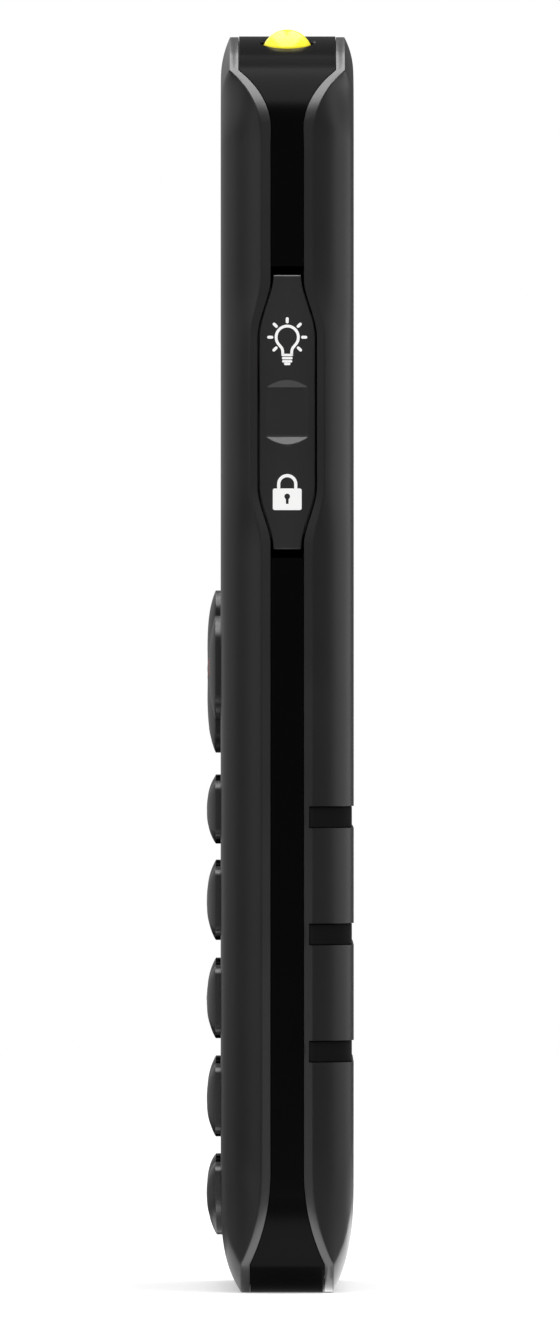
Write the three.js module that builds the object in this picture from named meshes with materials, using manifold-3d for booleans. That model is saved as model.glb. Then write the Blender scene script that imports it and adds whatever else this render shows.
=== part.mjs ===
// A bar-shaped mobile phone for older users, upright on its flat bottom end, with its keys and
// screen facing -Y, its battery cover facing +Y and its torch and lock slider on the +X side.
// Sizes are in millimetres. Angles are in degrees.
import * as THREE from "three";
import { mergeVertices } from "three/addons/utils/BufferGeometryUtils.js";
import Module from "manifold-3d";

const wasm = await Module();
wasm.setup();

// Body
const BODY_WIDTH = 60;
const BODY_HEIGHT = 136;
const BODY_DEPTH = 14.4;
const KEY_PROUD = 1.5;
const WALL = 1.5;
const OVERRUN = 1;
const SEAM = 0.12;
const FIT = 0.2;

// Body outline seen from the front: a corner, a shoulder and a crowned top edge, then a taper
// and a corner at the bottom. Each angle is that of the outward normal where its arc ends.
const CORNER_RADIUS = 7.7;
const CORNER_ANGLE = 48;
const SHOULDER_RADIUS = 9.8;
const SHOULDER_ANGLE = 72;
const CROWN_RADIUS = 38;
const TAPER_RADIUS = 26.9;
const TAPER_ANGLE = 18;
const BOTTOM_CORNER_RADIUS = 4.5;
const TOP_ARCS = [
  { radius: CORNER_RADIUS, to: CORNER_ANGLE, steps: 5 },
  { radius: SHOULDER_RADIUS, to: SHOULDER_ANGLE, steps: 2 },
  { radius: CROWN_RADIUS, to: 90, steps: 3 },
];
const BOTTOM_ARCS = [
  { radius: TAPER_RADIUS, to: -TAPER_ANGLE, steps: 3 },
  { radius: BOTTOM_CORNER_RADIUS, to: -90, steps: 5 },
];

// The flat land round the body's edge, which widens towards both ends, and the dished faces
const LAND_HALF = 2.73;
const LAND_TOP_HALF = 6.05;
const LAND_TOP_RADIUS = 7.7;
const LAND_TOP_START = 10.3;
const LAND_BOTTOM_HALF = 4.97;
const LAND_BOTTOM_RADIUS = 23;
const LAND_BOTTOM_START = 13;
const RIM_WIDTH = 0.95;
const FACE_BORDER_SIDE = 7;
const FACE_BORDER_TOP = 4.3;
const FACE_BORDER_BOTTOM = 12.5;
const SIDE_POWER = 2.9;
const TOP_POWER = 2;
const OUTER_SHARES = [1, 0.66, 0.42, 0.22, 0.08, 0];
const INNER_SHARES = [1, 0.5, 0.16, 0];
const BAND_RECESS = 0.1;

// Torch and lock slider
const SLIDER_LENGTH = 29.6;
const SLIDER_DROP = 40.9;
const SLIDER_HALF = 2.98;
const SLIDER_END_HALF = 1.5;
const SLIDER_RAMP = 6.8;
const RAMP_SHARES = [0, 0.3, 0.7, 1];
const SLIDER_CLEARANCE = 0.27;
const SLIDER_TRAVEL = 0.7;
const SLIDER_THICK = 1.1;
const SLIDER_PROUD = 0.1;
const SLIDER_CROWN = 0.35;
const SLIDER_LAND_BULGE = 1.24;
const DISH_DEPTH = 0.38;
const THUMB_LENGTH = 5.4;
const THUMB_RAMP = 0.7;
const THUMB_DEPTH = 0.3;
const STEM_HALF = 1.2;
const STEM_HALF_LENGTH = 1.6;
const STEM_END_INSET = 5.4;
const LEVER_HALF = 0.5;
const LEVER_LENGTH = 2.8;
const LEVER_ENGAGEMENT = 1;
const SWITCH_DEPTH = 3.8;
const SWITCH_HALF_LENGTH = 4;
const SWITCH_THICK = 3.4;

// Layers, measured from the body's middle plane towards the back
const BOARD_THICK = 0.8;
const WEB_FRONT = -0.7;
const WEB_THICK = 0.7;
const LAYER_GAP = 0.1;

// Keys
const KEY_WALL = 0.6;
const KEY_TRAVEL = 0.35;
const KEY_FLANGE_GAP = 0.3;
const KEY_FLANGE = 0.5;
const KEY_FLANGE_THICK = 0.5;
const KEY_CORNER = 1.3;
const KEY_CROWN = 0.45;
const SHOULDER_SHARE = 0.75;
const DOME_SHARES = [0.4, 0.7, 0.9, 1];
const KEYPAD_INSET = 6.9;
const KEY_GAP = 1.5;
const KEY_HEIGHT = 8.7;
const MEMORY_KEY_HEIGHT = 7.5;
const BOTTOM_ROW_Z = 10.1;
const ROW_GAP = 2;
const MEMORY_ROW_GAP = 1.8;
const NAV_GAP = 2.4;
const NAV_WIDTH = 17;
const NAV_HEIGHT = 17.7;
const NAV_CORNER = 6;
const OK_RADIUS = 3.5;
const OK_CLEARANCE = 0.4;
const CALL_RISE = 0.4;
const CALL_GAP = 1.3;
const CALL_HEIGHT = 11.3;
const CALL_CORNER = 2.6;
const CALL_PROUD_SHARE = 0.85;
const MAT_THICK = 0.6;
const MAT_SIDE_INSET = 1.5;
const MAT_END_REACH = 0.45;
const DOME_SHEET_THICK = 0.15;

const NUMBER_KEYS = [
  ["key_star", "key_0", "key_hash"],
  ["key_7", "key_8", "key_9"],
  ["key_4", "key_5", "key_6"],
  ["key_1", "key_2", "key_3"],
];
const MEMORY_KEYS = ["memory_key_1", "memory_key_2", "memory_key_3"];

// Display and earpiece
const WINDOW_SIDE_INSET = 8;
const WINDOW_DROP = 9.5;
const WINDOW_GAP = 3.55;
const WINDOW_THICK = 0.95;
const WINDOW_CORNER = 2;
const WINDOW_LEDGE = 2.4;
const LCD_SIDE_INSET = 2;
const LCD_END_INSET = 1;
const EARPIECE_DROP = 6.2;
const EARPIECE_SLOT_WIDTH = 12.4;
const EARPIECE_SLOT_HEIGHT = 2;
const EARPIECE_SLOT_CORNER = 0.8;
const EARPIECE_WIDTH = 12;
const EARPIECE_HEIGHT = 5;
const EARPIECE_CORNER = 2;

// Torch
const TORCH_INSET = 9.9;
const TORCH_TILT = 8;
const TORCH_RADIUS = 2.55;
const TORCH_DOME = 1.6;
const TORCH_BASE_DEPTH = 0.2;
const TORCH_HOLE_RADIUS = 2.93;
const TORCH_STEM = 1.5;
const TORCH_FLANGE_RADIUS = 3.3;
const TORCH_FLANGE_THICK = 0.6;
const TORCH_LED_HALF = 1.75;
const TORCH_LED_THICK = 1.4;

// Volume rocker, on the -X side
const VOLUME_DROP = 36;
const VOLUME_HALF = 1.25;
const VOLUME_HALF_LENGTH = 9.5;
const VOLUME_THICK = 1;
const VOLUME_PROUD = 0.1;
const VOLUME_CLEARANCE = 0.3;
const VOLUME_PUSHER_Z = 6.5;
const VOLUME_PUSHER_HALF = 0.8;
const VOLUME_PUSHER_LENGTH = 2.7;
const VOLUME_SWITCH_DEPTH = 2;
const VOLUME_SWITCH_HEIGHT = 4;
const VOLUME_BUTTON_THICK = 0.3;

// Emergency key, on the back
const SOS_DROP = 32;
const SOS_WIDTH = 15;
const SOS_HEIGHT = 9;
const SOS_CORNER = 2.5;
const SOS_RECESS = 0.15;
const SOS_FLANGE = 1;
const SOS_FLANGE_THICK = 0.6;
const SOS_TRAVEL = 0.3;
const SOS_SWITCH_HALF = 3;
const SOS_BUTTON_RADIUS = 1.6;
const SOS_BUTTON_THICK = 0.8;

// Battery cover's grip strips and sound slots
const GRIP_COUNT = 3;
const GRIP_TOP_Z = 51.4;
const GRIP_PITCH = 12.65;
const GRIP_HEIGHT = 2.3;
const GRIP_EDGE = 2.37;
const GRIP_RECESS = 0.2;
const GRIP_THICK = 0.55;
const SOUND_SLOT_COUNT = 4;
const SOUND_SLOT_PITCH = 2.8;
const SOUND_SLOT_WIDTH = 13;
const SOUND_SLOT_HEIGHT = 1.2;

// Frame behind the board, with the battery bay
const TRAY_CLEARANCE = 0.3;
const TRAY_WALL = 1.2;
const TRAY_DEPTH = 5.3;
const DECK_THICK = 0.8;
const PAD_THICK = 1.8;
const BATTERY_SIDE_INSET = 11;
const BATTERY_BOTTOM = 29.6;
const BATTERY_TOP_DROP = 52;
const BATTERY_CORNER = 1.5;
const BATTERY_THICK = 5.2;
const BAY_CLEARANCE = 0.3;
const BAY_WALL = 1;

// Fasteners
const SCREW_INSET = 6;
const SCREW_TOP_DROP = 11.7;
const BOTTOM_SCREW_INSET = 9.5;
const BOTTOM_SCREW_Z = 3.5;
const SCREW_RADIUS = 0.7;
const SCREW_HEAD_RADIUS = 1.4;
const SCREW_HEAD_THICK = 0.9;
const SCREW_LENGTH = 4.6;
const SCREW_RECESS_RADIUS = 0.6;
const SCREW_RECESS_DEPTH = 0.5;
const SCREW_CLEARANCE = 0.2;
const BOSS_RADIUS = 1.8;

// Board and what is soldered to it
const BOARD_SIDE_INSET = 4.4;
const BOARD_BOTTOM = 2.1;
const BOARD_TOP_DROP = 5.6;
const BOARD_CHAMFER = 4;
const USB_HALF_WIDTH = 3.8;
const USB_THICK = 2.7;
const USB_LENGTH = 5.4;
const USB_INSET = 0.5;
const USB_MOUTH_WALL = 0.35;
const USB_TONGUE_THICK = 0.6;
const MIC_RADIUS = 2;
const MIC_THICK = 1.4;
const MIC_HOLE_RADIUS = 0.6;
const SHIELD_SIZE = { width: 30, height: 15, thick: 1.45 };
const SHIELD_GAP = 2.8;
const SIM_SIZE = { width: 16, height: 17, thick: 2 };
const MEMORY_SIZE = { width: 13, height: 15, thick: 1.8 };
const CARD_GAP = 3.3;
const CARD_RISE = 7.9;
const CONTACT_WIDTH = 13;
const CONTACT_HEIGHT = 2.4;
const CONTACT_TOP = 3.6;
const CONTACT_PIN_COUNT = 3;
const CONTACT_PIN_PITCH = 4;
const CONTACT_PIN_WIDTH = 1.2;
const CONTACT_PIN_REACH = 0.25;
const SPEAKER = { width: 19, height: 13, drop: 16.2, thick: 4 };
const MOTOR_RADIUS = 1.95;
const MOTOR_LENGTH = 8;
const MOTOR_GAP = 6;
const MOTOR_DROP = 18;
const ANTENNA = { width: 38, height: 17, thick: 0.4, slot: 2, arm: 3.4 };
const ANTENNA_GAP = 5.6;

const ROUND_STEPS = 20;
const SMALL_ROUND_STEPS = 10;
const HALF_WIDTH = BODY_WIDTH / 2;
const HALF_HEIGHT = BODY_HEIGHT / 2;
const HALF_DEPTH = BODY_DEPTH / 2;
const FRONT_INSIDE = WALL - HALF_DEPTH;
const BACK_INSIDE = HALF_DEPTH - WALL;
const KEY_SEAT = FRONT_INSIDE + KEY_FLANGE_GAP;
const KEY_BACK = KEY_SEAT + KEY_FLANGE_THICK;
const MAT_FRONT = KEY_BACK + KEY_TRAVEL + LAYER_GAP;
const DOME_SHEET_FRONT = MAT_FRONT + MAT_THICK + LAYER_GAP;
const BOARD_FRONT = DOME_SHEET_FRONT + DOME_SHEET_THICK + LAYER_GAP;
const BOARD_BACK = BOARD_FRONT + BOARD_THICK;
const BOARD_HALF_WIDTH = HALF_WIDTH - BOARD_SIDE_INSET;
const BOARD_TOP = BODY_HEIGHT - BOARD_TOP_DROP;
const BOTTOM_SCREW_X = HALF_WIDTH - BOTTOM_SCREW_INSET;
const MIC_X = (USB_HALF_WIDTH + BOTTOM_SCREW_X) / 2;
const STEM_END_X = HALF_WIDTH - STEM_END_INSET;
const TORCH_X = HALF_WIDTH - TORCH_INSET;
const SLIDER_Z = BODY_HEIGHT - SLIDER_DROP;
const VOLUME_Z = BODY_HEIGHT - VOLUME_DROP;
const SOS_Z = BODY_HEIGHT - SOS_DROP;
const EARPIECE_Z = BODY_HEIGHT - EARPIECE_DROP;
const SPEAKER_Z = BODY_HEIGHT - SPEAKER.drop;
const BATTERY_WIDTH = 2 * (HALF_WIDTH - BATTERY_SIDE_INSET);
const BAY_TOP = BODY_HEIGHT - BATTERY_TOP_DROP;
const BATTERY_HEIGHT = BAY_TOP - BATTERY_BOTTOM;
const CARD_Z = BATTERY_BOTTOM + CARD_RISE;

// The keypad is stacked upwards from its bottom row, and the window fills what is left above it
const KEYS_HALF_WIDTH = HALF_WIDTH - KEYPAD_INSET;
const KEY_WIDTH = (2 * (KEYS_HALF_WIDTH - KEY_GAP)) / 3;
const KEY_PITCH = KEY_WIDTH + KEY_GAP;
const CALL_WIDTH = KEYS_HALF_WIDTH - NAV_WIDTH / 2 - CALL_GAP;
const KEYS_BOTTOM = BOTTOM_ROW_Z - KEY_HEIGHT / 2;
const numberRowZ = (row) => BOTTOM_ROW_Z + row * (KEY_HEIGHT + ROW_GAP);
const MEMORY_ROW_BOTTOM = numberRowZ(NUMBER_KEYS.length - 1) + KEY_HEIGHT / 2 + MEMORY_ROW_GAP;
const MEMORY_ROW_Z = MEMORY_ROW_BOTTOM + MEMORY_KEY_HEIGHT / 2;
const MEMORY_ROW_TOP = MEMORY_ROW_BOTTOM + MEMORY_KEY_HEIGHT;
const NAV_Z = MEMORY_ROW_TOP + NAV_GAP + NAV_HEIGHT / 2;
const KEYS_TOP = NAV_Z + NAV_HEIGHT / 2;
const CALL_Z = NAV_Z + CALL_RISE;
const WINDOW_WIDTH = 2 * (HALF_WIDTH - WINDOW_SIDE_INSET);
const WINDOW_TOP = BODY_HEIGHT - WINDOW_DROP;
const WINDOW_HEIGHT = WINDOW_TOP - KEYS_TOP - WINDOW_GAP;
const WINDOW_Z = WINDOW_TOP - WINDOW_HEIGHT / 2;
const WEB_BACK = WEB_FRONT + WEB_THICK;
const DECK_FRONT = TRAY_DEPTH - DECK_THICK;
const RAD = Math.PI / 180;

const finish = (color, roughness, metalness = 0) =>
  new THREE.MeshStandardMaterial({ color, roughness, metalness });
const GREY_SHELL = finish(0x3a3a3b, 0.5);
const BLACK_BAND = finish(0x0b0b0b, 0.2);
const BLACK_RUBBER = finish(0x141414, 0.8);
const KEY_GREY = finish(0x444446, 0.45);
const YELLOW_LENS = finish(0xf2dd1a, 0.15);
const DARK_GLASS = finish(0x08090b, 0.05);
const RED_KEY = finish(0xb01818, 0.4);
const SHEET_WHITE = finish(0xd8d8d4, 0.5);
const GREEN_BOARD = finish(0x1f5a35, 0.5);
const STEEL = finish(0xb8b8ba, 0.3, 1);
const GOLD = finish(0xc9a24a, 0.3, 1);
const DARK_PLASTIC = finish(0x1c1c1e, 0.6);
const SILICONE = finish(0x8d9094, 0.7);
const LABEL_GREY = finish(0x50555c, 0.6);

// From a closed geometry to a solid that can be joined and cut, and back again
function solid(geometry) {
  geometry.deleteAttribute("normal");
  geometry.deleteAttribute("uv");
  const merged = mergeVertices(geometry, 1e-4);
  return new wasm.Manifold(
    new wasm.Mesh({
      numProp: 3,
      vertProperties: new Float32Array(merged.attributes.position.array),
      triVerts: new Uint32Array(merged.index.array),
    }),
  );
}

function geometryOf(made) {
  const mesh = made.getMesh();
  const indexed = new THREE.BufferGeometry()
    .setAttribute("position", new THREE.BufferAttribute(mesh.vertProperties, 3))
    .setIndex(new THREE.BufferAttribute(mesh.triVerts, 1));
  const geometry = indexed.toNonIndexed();
  geometry.computeVertexNormals();
  return geometry;
}

const join = (first, ...others) => others.reduce((made, other) => made.add(other), first);
const cut = (first, ...others) => others.reduce((made, other) => made.subtract(other), first);

// A block between two values on each axis
function block(x0, x1, y0, y1, z0, z1) {
  const box = new THREE.BoxGeometry(x1 - x0, y1 - y0, z1 - z0);
  return solid(box.translate((x0 + x1) / 2, (y0 + y1) / 2, (z0 + z1) / 2));
}

// A front-view shape (x, z) given thickness from y0 to y1
function plate(shape, y0, y1, curveSegments = 2) {
  const made = new THREE.ExtrudeGeometry(shape, {
    depth: y1 - y0,
    bevelEnabled: false,
    curveSegments,
  });
  return solid(made.rotateX(90 * RAD).translate(0, y1, 0));
}

// A side-view outline, a list of [y, z], given width from x0 to x1
function sidePlate(points, x0, x1) {
  const shape = new THREE.Shape(points.map(([y, z]) => new THREE.Vector2(y, z)));
  const made = new THREE.ExtrudeGeometry(shape, { depth: x1 - x0, bevelEnabled: false });
  return solid(made.rotateX(90 * RAD).rotateZ(90 * RAD).translate(x0, 0, 0));
}

// A round bar along Y from y0 to y1
function barY(radius, x, y0, y1, z, steps = SMALL_ROUND_STEPS) {
  const bar = new THREE.CylinderGeometry(radius, radius, y1 - y0, steps);
  return solid(bar.translate(x, (y0 + y1) / 2, z));
}

function roundedShape(width, height, corner, x = 0, z = 0) {
  const w = width / 2;
  const h = height / 2;
  const shape = new THREE.Shape();
  shape.moveTo(x - w + corner, z - h);
  shape.lineTo(x + w - corner, z - h);
  shape.absarc(x + w - corner, z - h + corner, corner, -90 * RAD, 0);
  shape.lineTo(x + w, z + h - corner);
  shape.absarc(x + w - corner, z + h - corner, corner, 0, 90 * RAD);
  shape.lineTo(x - w + corner, z + h);
  shape.absarc(x - w + corner, z + h - corner, corner, 90 * RAD, 180 * RAD);
  shape.lineTo(x - w, z - h + corner);
  shape.absarc(x - w + corner, z - h + corner, corner, 180 * RAD, 270 * RAD);
  return shape;
}

const roundedPlate = (width, height, corner, x, z, y0, y1) =>
  plate(roundedShape(width, height, corner, x, z), y0, y1);

const smooth = (share) => {
  const s = Math.min(1, Math.max(0, share));
  return s * s * (3 - 2 * s);
};

// 1 beside the slider's full width, 0 past its ends, with a smooth ramp between
function besideSlider(z, reach = 0) {
  const fromEnd = SLIDER_LENGTH / 2 + reach - Math.abs(z - SLIDER_Z);
  return smooth(fromEnd / SLIDER_RAMP);
}

// Half the width of the flat land at height z, without what the slider adds to it
function landHalf(z) {
  const intoTop = Math.min(z - (BODY_HEIGHT - LAND_TOP_START), LAND_TOP_RADIUS);
  if (intoTop > 0) {
    const sweep = LAND_TOP_RADIUS - Math.sqrt(LAND_TOP_RADIUS ** 2 - intoTop ** 2);
    return Math.min(LAND_HALF + sweep, LAND_TOP_HALF);
  }
  const intoBottom = Math.min(LAND_BOTTOM_START - z, LAND_BOTTOM_RADIUS);
  if (intoBottom > 0) {
    const sweep = LAND_BOTTOM_RADIUS - Math.sqrt(LAND_BOTTOM_RADIUS ** 2 - intoBottom ** 2);
    return Math.min(LAND_HALF + sweep, LAND_BOTTOM_HALF);
  }
  return LAND_HALF;
}

// Points along a chain of arcs that starts straight up or down at a point of the side
function arcChain(start, arcs) {
  const points = [];
  let { x, z } = start;
  let angle = 0;
  for (const { radius, to, steps } of arcs) {
    const centreX = x - radius * Math.cos(angle * RAD);
    const centreZ = z - radius * Math.sin(angle * RAD);
    for (let i = 1; i <= steps; i++) {
      const a = (angle + ((to - angle) * i) / steps) * RAD;
      points.push({
        x: centreX + radius * Math.cos(a),
        z: centreZ + radius * Math.sin(a),
        up: Math.sin(a),
      });
    }
    x = points.at(-1).x;
    z = points.at(-1).z;
    angle = to;
  }
  return points;
}

// How high a chain of arcs rises, or how deep it falls
function rise(arcs) {
  let angle = 0;
  let total = 0;
  for (const { radius, to } of arcs) {
    total += radius * (Math.sin(to * RAD) - Math.sin(angle * RAD));
    angle = to;
  }
  return total;
}

// The body's outline, anticlockwise from the front, starting at the right of the bottom edge
function outlinePoints() {
  const sideTop = BODY_HEIGHT - rise(TOP_ARCS);
  const sideBottom = -rise(BOTTOM_ARCS);
  const rampStarts = [SLIDER_Z - SLIDER_LENGTH / 2, SLIDER_Z + SLIDER_LENGTH / 2 - SLIDER_RAMP];
  const bottom = [
    ...arcChain({ x: HALF_WIDTH, z: sideBottom }, BOTTOM_ARCS).reverse(),
    { x: HALF_WIDTH, z: sideBottom, up: 0 },
  ];
  const top = [
    { x: HALF_WIDTH, z: sideTop, up: 0 },
    ...arcChain({ x: HALF_WIDTH, z: sideTop }, TOP_ARCS),
  ];
  const ramps = rampStarts.flatMap((start) =>
    RAMP_SHARES.map((share) => ({ x: HALF_WIDTH, z: start + share * SLIDER_RAMP, up: 0 })),
  );
  const left = [...bottom, ...top].map(({ x, z, up }) => ({ x: -x, z, up })).reverse();
  return [...bottom, ...ramps, ...top, ...left];
}

// The height of the outline's top edge at x
function onTopEdge(x) {
  const { radius } = TOP_ARCS.at(-1);
  const flatHalf = arcChain({ x: HALF_WIDTH, z: 0 }, TOP_ARCS).at(-1).x;
  return BODY_HEIGHT - radius + Math.sqrt(radius ** 2 - (x - flatHalf) ** 2);
}

// The body's outer volume, moved inwards at its sides, ends and faces. Each face is a flat
// middle and a border that falls away to the land by a power of its distance from the middle.
function bodyVolume({ side = 0, end = 0, face = 0, shares = OUTER_SHARES } = {}) {
  const outline = outlinePoints();
  const toX = (HALF_WIDTH - side) / HALF_WIDTH;
  const toY = (HALF_DEPTH - face) / HALF_DEPTH;
  const toZ = (HALF_HEIGHT - end) / HALF_HEIGHT;
  const ringAt = (facing, share) =>
    outline.map(({ x, z, up }) => {
      const slider = x > 0 ? besideSlider(z) : 0;
      const land = landHalf(z) + SLIDER_LAND_BULGE * slider;
      const power = SIDE_POWER + (TOP_POWER - SIDE_POWER) * Math.max(0, up);
      const y = HALF_DEPTH - (HALF_DEPTH - land) * (1 - share) ** power;
      const inX = (x - DISH_DEPTH * slider) * (1 - (share * FACE_BORDER_SIDE) / HALF_WIDTH);
      const borders = share * (FACE_BORDER_TOP + FACE_BORDER_BOTTOM);
      const inZ = share * FACE_BORDER_BOTTOM + z * (1 - borders / BODY_HEIGHT);
      return [inX * toX, facing * y * toY, HALF_HEIGHT + (inZ - HALF_HEIGHT) * toZ];
    });
  const rings = [
    ...shares.map((share) => ringAt(-1, share)),
    ...shares.toReversed().map((share) => ringAt(1, share)),
  ];
  return loft(rings);
}

// A closed solid through rings of points, all with the same count, flat at both ends.
// Rings run anticlockwise as seen from where the first ring faces.
function loft(rings) {
  const count = rings[0].length;
  const positions = rings.flat(2);
  const index = [];
  for (let r = 0; r + 1 < rings.length; r++) {
    for (let i = 0; i < count; i++) {
      const next = (i + 1) % count;
      const [a, b] = [r * count + i, r * count + next];
      const [c, d] = [a + count, b + count];
      index.push(a, c, b, b, c, d);
    }
  }
  for (const [ring, flip] of [[0, false], [rings.length - 1, true]]) {
    const middle = [0, 1, 2].map((k) => rings[ring].reduce((s, p) => s + p[k], 0) / count);
    positions.push(...middle);
    const hub = positions.length / 3 - 1;
    for (let i = 0; i < count; i++) {
      const a = ring * count + i;
      const b = ring * count + ((i + 1) % count);
      index.push(hub, ...(flip ? [b, a] : [a, b]));
    }
  }
  const geometry = new THREE.BufferGeometry();
  geometry.setAttribute("position", new THREE.Float32BufferAttribute(positions, 3));
  geometry.setIndex(index);
  return solid(geometry);
}

// Heights at which the parting line is sampled
function partingHeights() {
  const heights = [-OVERRUN];
  const steps = 6;
  for (let i = 0; i <= steps; i++) heights.push((LAND_BOTTOM_START * i) / steps);
  for (let i = 0; i <= steps; i++) {
    heights.push(BODY_HEIGHT - LAND_TOP_START + (LAND_TOP_START * i) / steps);
  }
  heights.push(BODY_HEIGHT + OVERRUN);
  return heights;
}

// Everything in front of the frame's band (facing -1), behind it (1) or level with it (0)
function layer(facing) {
  const line = (side, gap) =>
    partingHeights().map((z) => [side * (landHalf(z) - RIM_WIDTH + gap / 2), z]);
  const reach = HALF_DEPTH + OVERRUN;
  const wide = HALF_WIDTH + OVERRUN;
  if (facing === 0) {
    return sidePlate([...line(1, -SEAM), ...line(-1, -SEAM).reverse()], -wide, wide);
  }
  const edge = line(facing, SEAM);
  const outer = [
    [facing * reach, BODY_HEIGHT + OVERRUN],
    [facing * reach, -OVERRUN],
  ];
  const points = [...edge, ...outer];
  return sidePlate(facing > 0 ? points.reverse() : points, -wide, wide);
}

// The slider's outline in side view, grown all round, from x0 to x1
function sliderOutline(grow, x0, x1, travel = 0) {
  const half = SLIDER_LENGTH / 2 + travel;
  const steps = 6;
  const heights = [];
  for (let i = 0; i <= steps; i++) heights.push(SLIDER_Z - half + (SLIDER_RAMP * i) / steps);
  for (let i = steps; i >= 0; i--) heights.push(SLIDER_Z + half - (SLIDER_RAMP * i) / steps);
  const widthAt = (z) =>
    grow + SLIDER_END_HALF + (SLIDER_HALF - SLIDER_END_HALF) * besideSlider(z, travel);
  const rightSide = heights.map((z) => [widthAt(z), z]);
  const leftSide = heights.map((z) => [-widthAt(z), z]).reverse();
  return sidePlate([...rightSide, ...leftSide], x0, x1);
}

const phone = new THREE.Group();
phone.position.y = KEY_PROUD / 2;

function add(name, made, material, parent = phone) {
  const mesh = new THREE.Mesh(geometryOf(made), material);
  mesh.name = name;
  parent.add(mesh);
  return mesh;
}

// Keys

// A key's outline: straight sides, rounded corners and gently arched top and bottom edges
function keyOutline(width, height, corner, steps = 2) {
  const w = width / 2;
  const h = height / 2 - KEY_CROWN;
  const quarter = [];
  for (let i = 0; i <= steps; i++) {
    const a = (90 * RAD * i) / steps;
    quarter.push([w - corner + corner * Math.cos(a), h - corner + corner * Math.sin(a)]);
  }
  quarter.push([(w - corner) / 2, h + KEY_CROWN * SHOULDER_SHARE]);
  const half = [...quarter, [0, h + KEY_CROWN]];
  const top = [...half, ...quarter.map(([x, z]) => [-x, z]).reverse()];
  return [...top, ...top.map(([x, z]) => [-x, -z])];
}

function roundOutline(radius) {
  const points = [];
  for (let i = 0; i < ROUND_STEPS; i++) {
    const a = (360 * RAD * i) / ROUND_STEPS;
    points.push([radius * Math.cos(a), radius * Math.sin(a)]);
  }
  return points;
}

// An outline about its own centre, grown outwards alike on all sides
function grow(shape, by) {
  const w = Math.max(...shape.map(([x]) => x));
  const h = Math.max(...shape.map(([, z]) => z));
  return shape.map(([x, z]) => [(x * (w + by)) / w, (z * (h + by)) / h]);
}

// A domed key cap on a flange that keeps it in, both about the key's centre
function keyCap(shape, { x, z, proud = KEY_PROUD, flange = KEY_FLANGE }) {
  const wallTop = -HALF_DEPTH - KEY_WALL;
  const place = (points, y) => points.map(([px, pz]) => [x + px, y, z + pz]);
  const dome = DOME_SHARES.map((share) => {
    const ring = shape.map(([px, pz]) => [px * share, pz * share]);
    const fall = (share ** 2 - DOME_SHARES[0] ** 2) / (1 - DOME_SHARES[0] ** 2);
    return place(ring, wallTop - (proud - KEY_WALL) * (1 - fall));
  });
  const rim = grow(shape, flange);
  return loft([...dome, place(shape, KEY_SEAT), place(rim, KEY_SEAT), place(rim, KEY_BACK)]);
}

const keyHoles = [];
function keyHole(shape, x, z) {
  const points = grow(shape, FIT).map(([px, pz]) => new THREE.Vector2(x + px, z + pz));
  keyHoles.push(plate(new THREE.Shape(points), -HALF_DEPTH - OVERRUN, FRONT_INSIDE + OVERRUN));
}

function addKey(name, shape, place) {
  add(name, keyCap(shape, place), KEY_GREY);
  keyHole(shape, place.x, place.z);
}

const numberShape = keyOutline(KEY_WIDTH, KEY_HEIGHT, KEY_CORNER);
const memoryShape = keyOutline(KEY_WIDTH, MEMORY_KEY_HEIGHT, KEY_CORNER);
const callShape = keyOutline(CALL_WIDTH, CALL_HEIGHT, CALL_CORNER);
const navShape = keyOutline(NAV_WIDTH, NAV_HEIGHT, NAV_CORNER, 4);

NUMBER_KEYS.forEach((names, row) =>
  names.forEach((name, column) =>
    addKey(name, numberShape, { x: (column - 1) * KEY_PITCH, z: numberRowZ(row) }),
  ),
);
MEMORY_KEYS.forEach((name, column) =>
  addKey(name, memoryShape, { x: (column - 1) * KEY_PITCH, z: MEMORY_ROW_Z }),
);
const callX = NAV_WIDTH / 2 + CALL_GAP + CALL_WIDTH / 2;
const callProud = KEY_PROUD * CALL_PROUD_SHARE;
addKey("call_key", callShape, { x: -callX, z: CALL_Z, proud: callProud });
addKey("end_key", callShape, { x: callX, z: CALL_Z, proud: callProud });

// The navigation ring rocks round the OK key in its middle
const okHole = barY(
  OK_RADIUS + OK_CLEARANCE,
  0,
  -HALF_DEPTH - KEY_PROUD - OVERRUN,
  KEY_BACK + OVERRUN,
  NAV_Z,
  ROUND_STEPS,
);
add("nav_ring", cut(keyCap(navShape, { x: 0, z: NAV_Z }), okHole), KEY_GREY);
keyHole(navShape, 0, NAV_Z);
const okShape = roundOutline(OK_RADIUS);
add("ok_key", keyCap(okShape, { x: 0, z: NAV_Z, flange: OK_CLEARANCE / 2 }), KEY_GREY);

const matPlate = (thick, y0) =>
  block(
    MAT_SIDE_INSET - KEYS_HALF_WIDTH,
    KEYS_HALF_WIDTH - MAT_SIDE_INSET,
    y0,
    y0 + thick,
    KEYS_BOTTOM - MAT_END_REACH / 2,
    KEYS_TOP + MAT_END_REACH,
  );
add("keypad_mat", matPlate(MAT_THICK, MAT_FRONT), SILICONE);
add("dome_sheet", matPlate(DOME_SHEET_THICK, DOME_SHEET_FRONT), SHEET_WHITE);

// Front cover: a shell with screw bosses, key holes, and a ledge that the window lies on

const shellVolume = bodyVolume();
const inside = (side, face, end = side) => bodyVolume({ side, end, face, shares: INNER_SHARES });
const cavity = inside(WALL, WALL);
const shell = cut(shellVolume, cavity);

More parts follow.
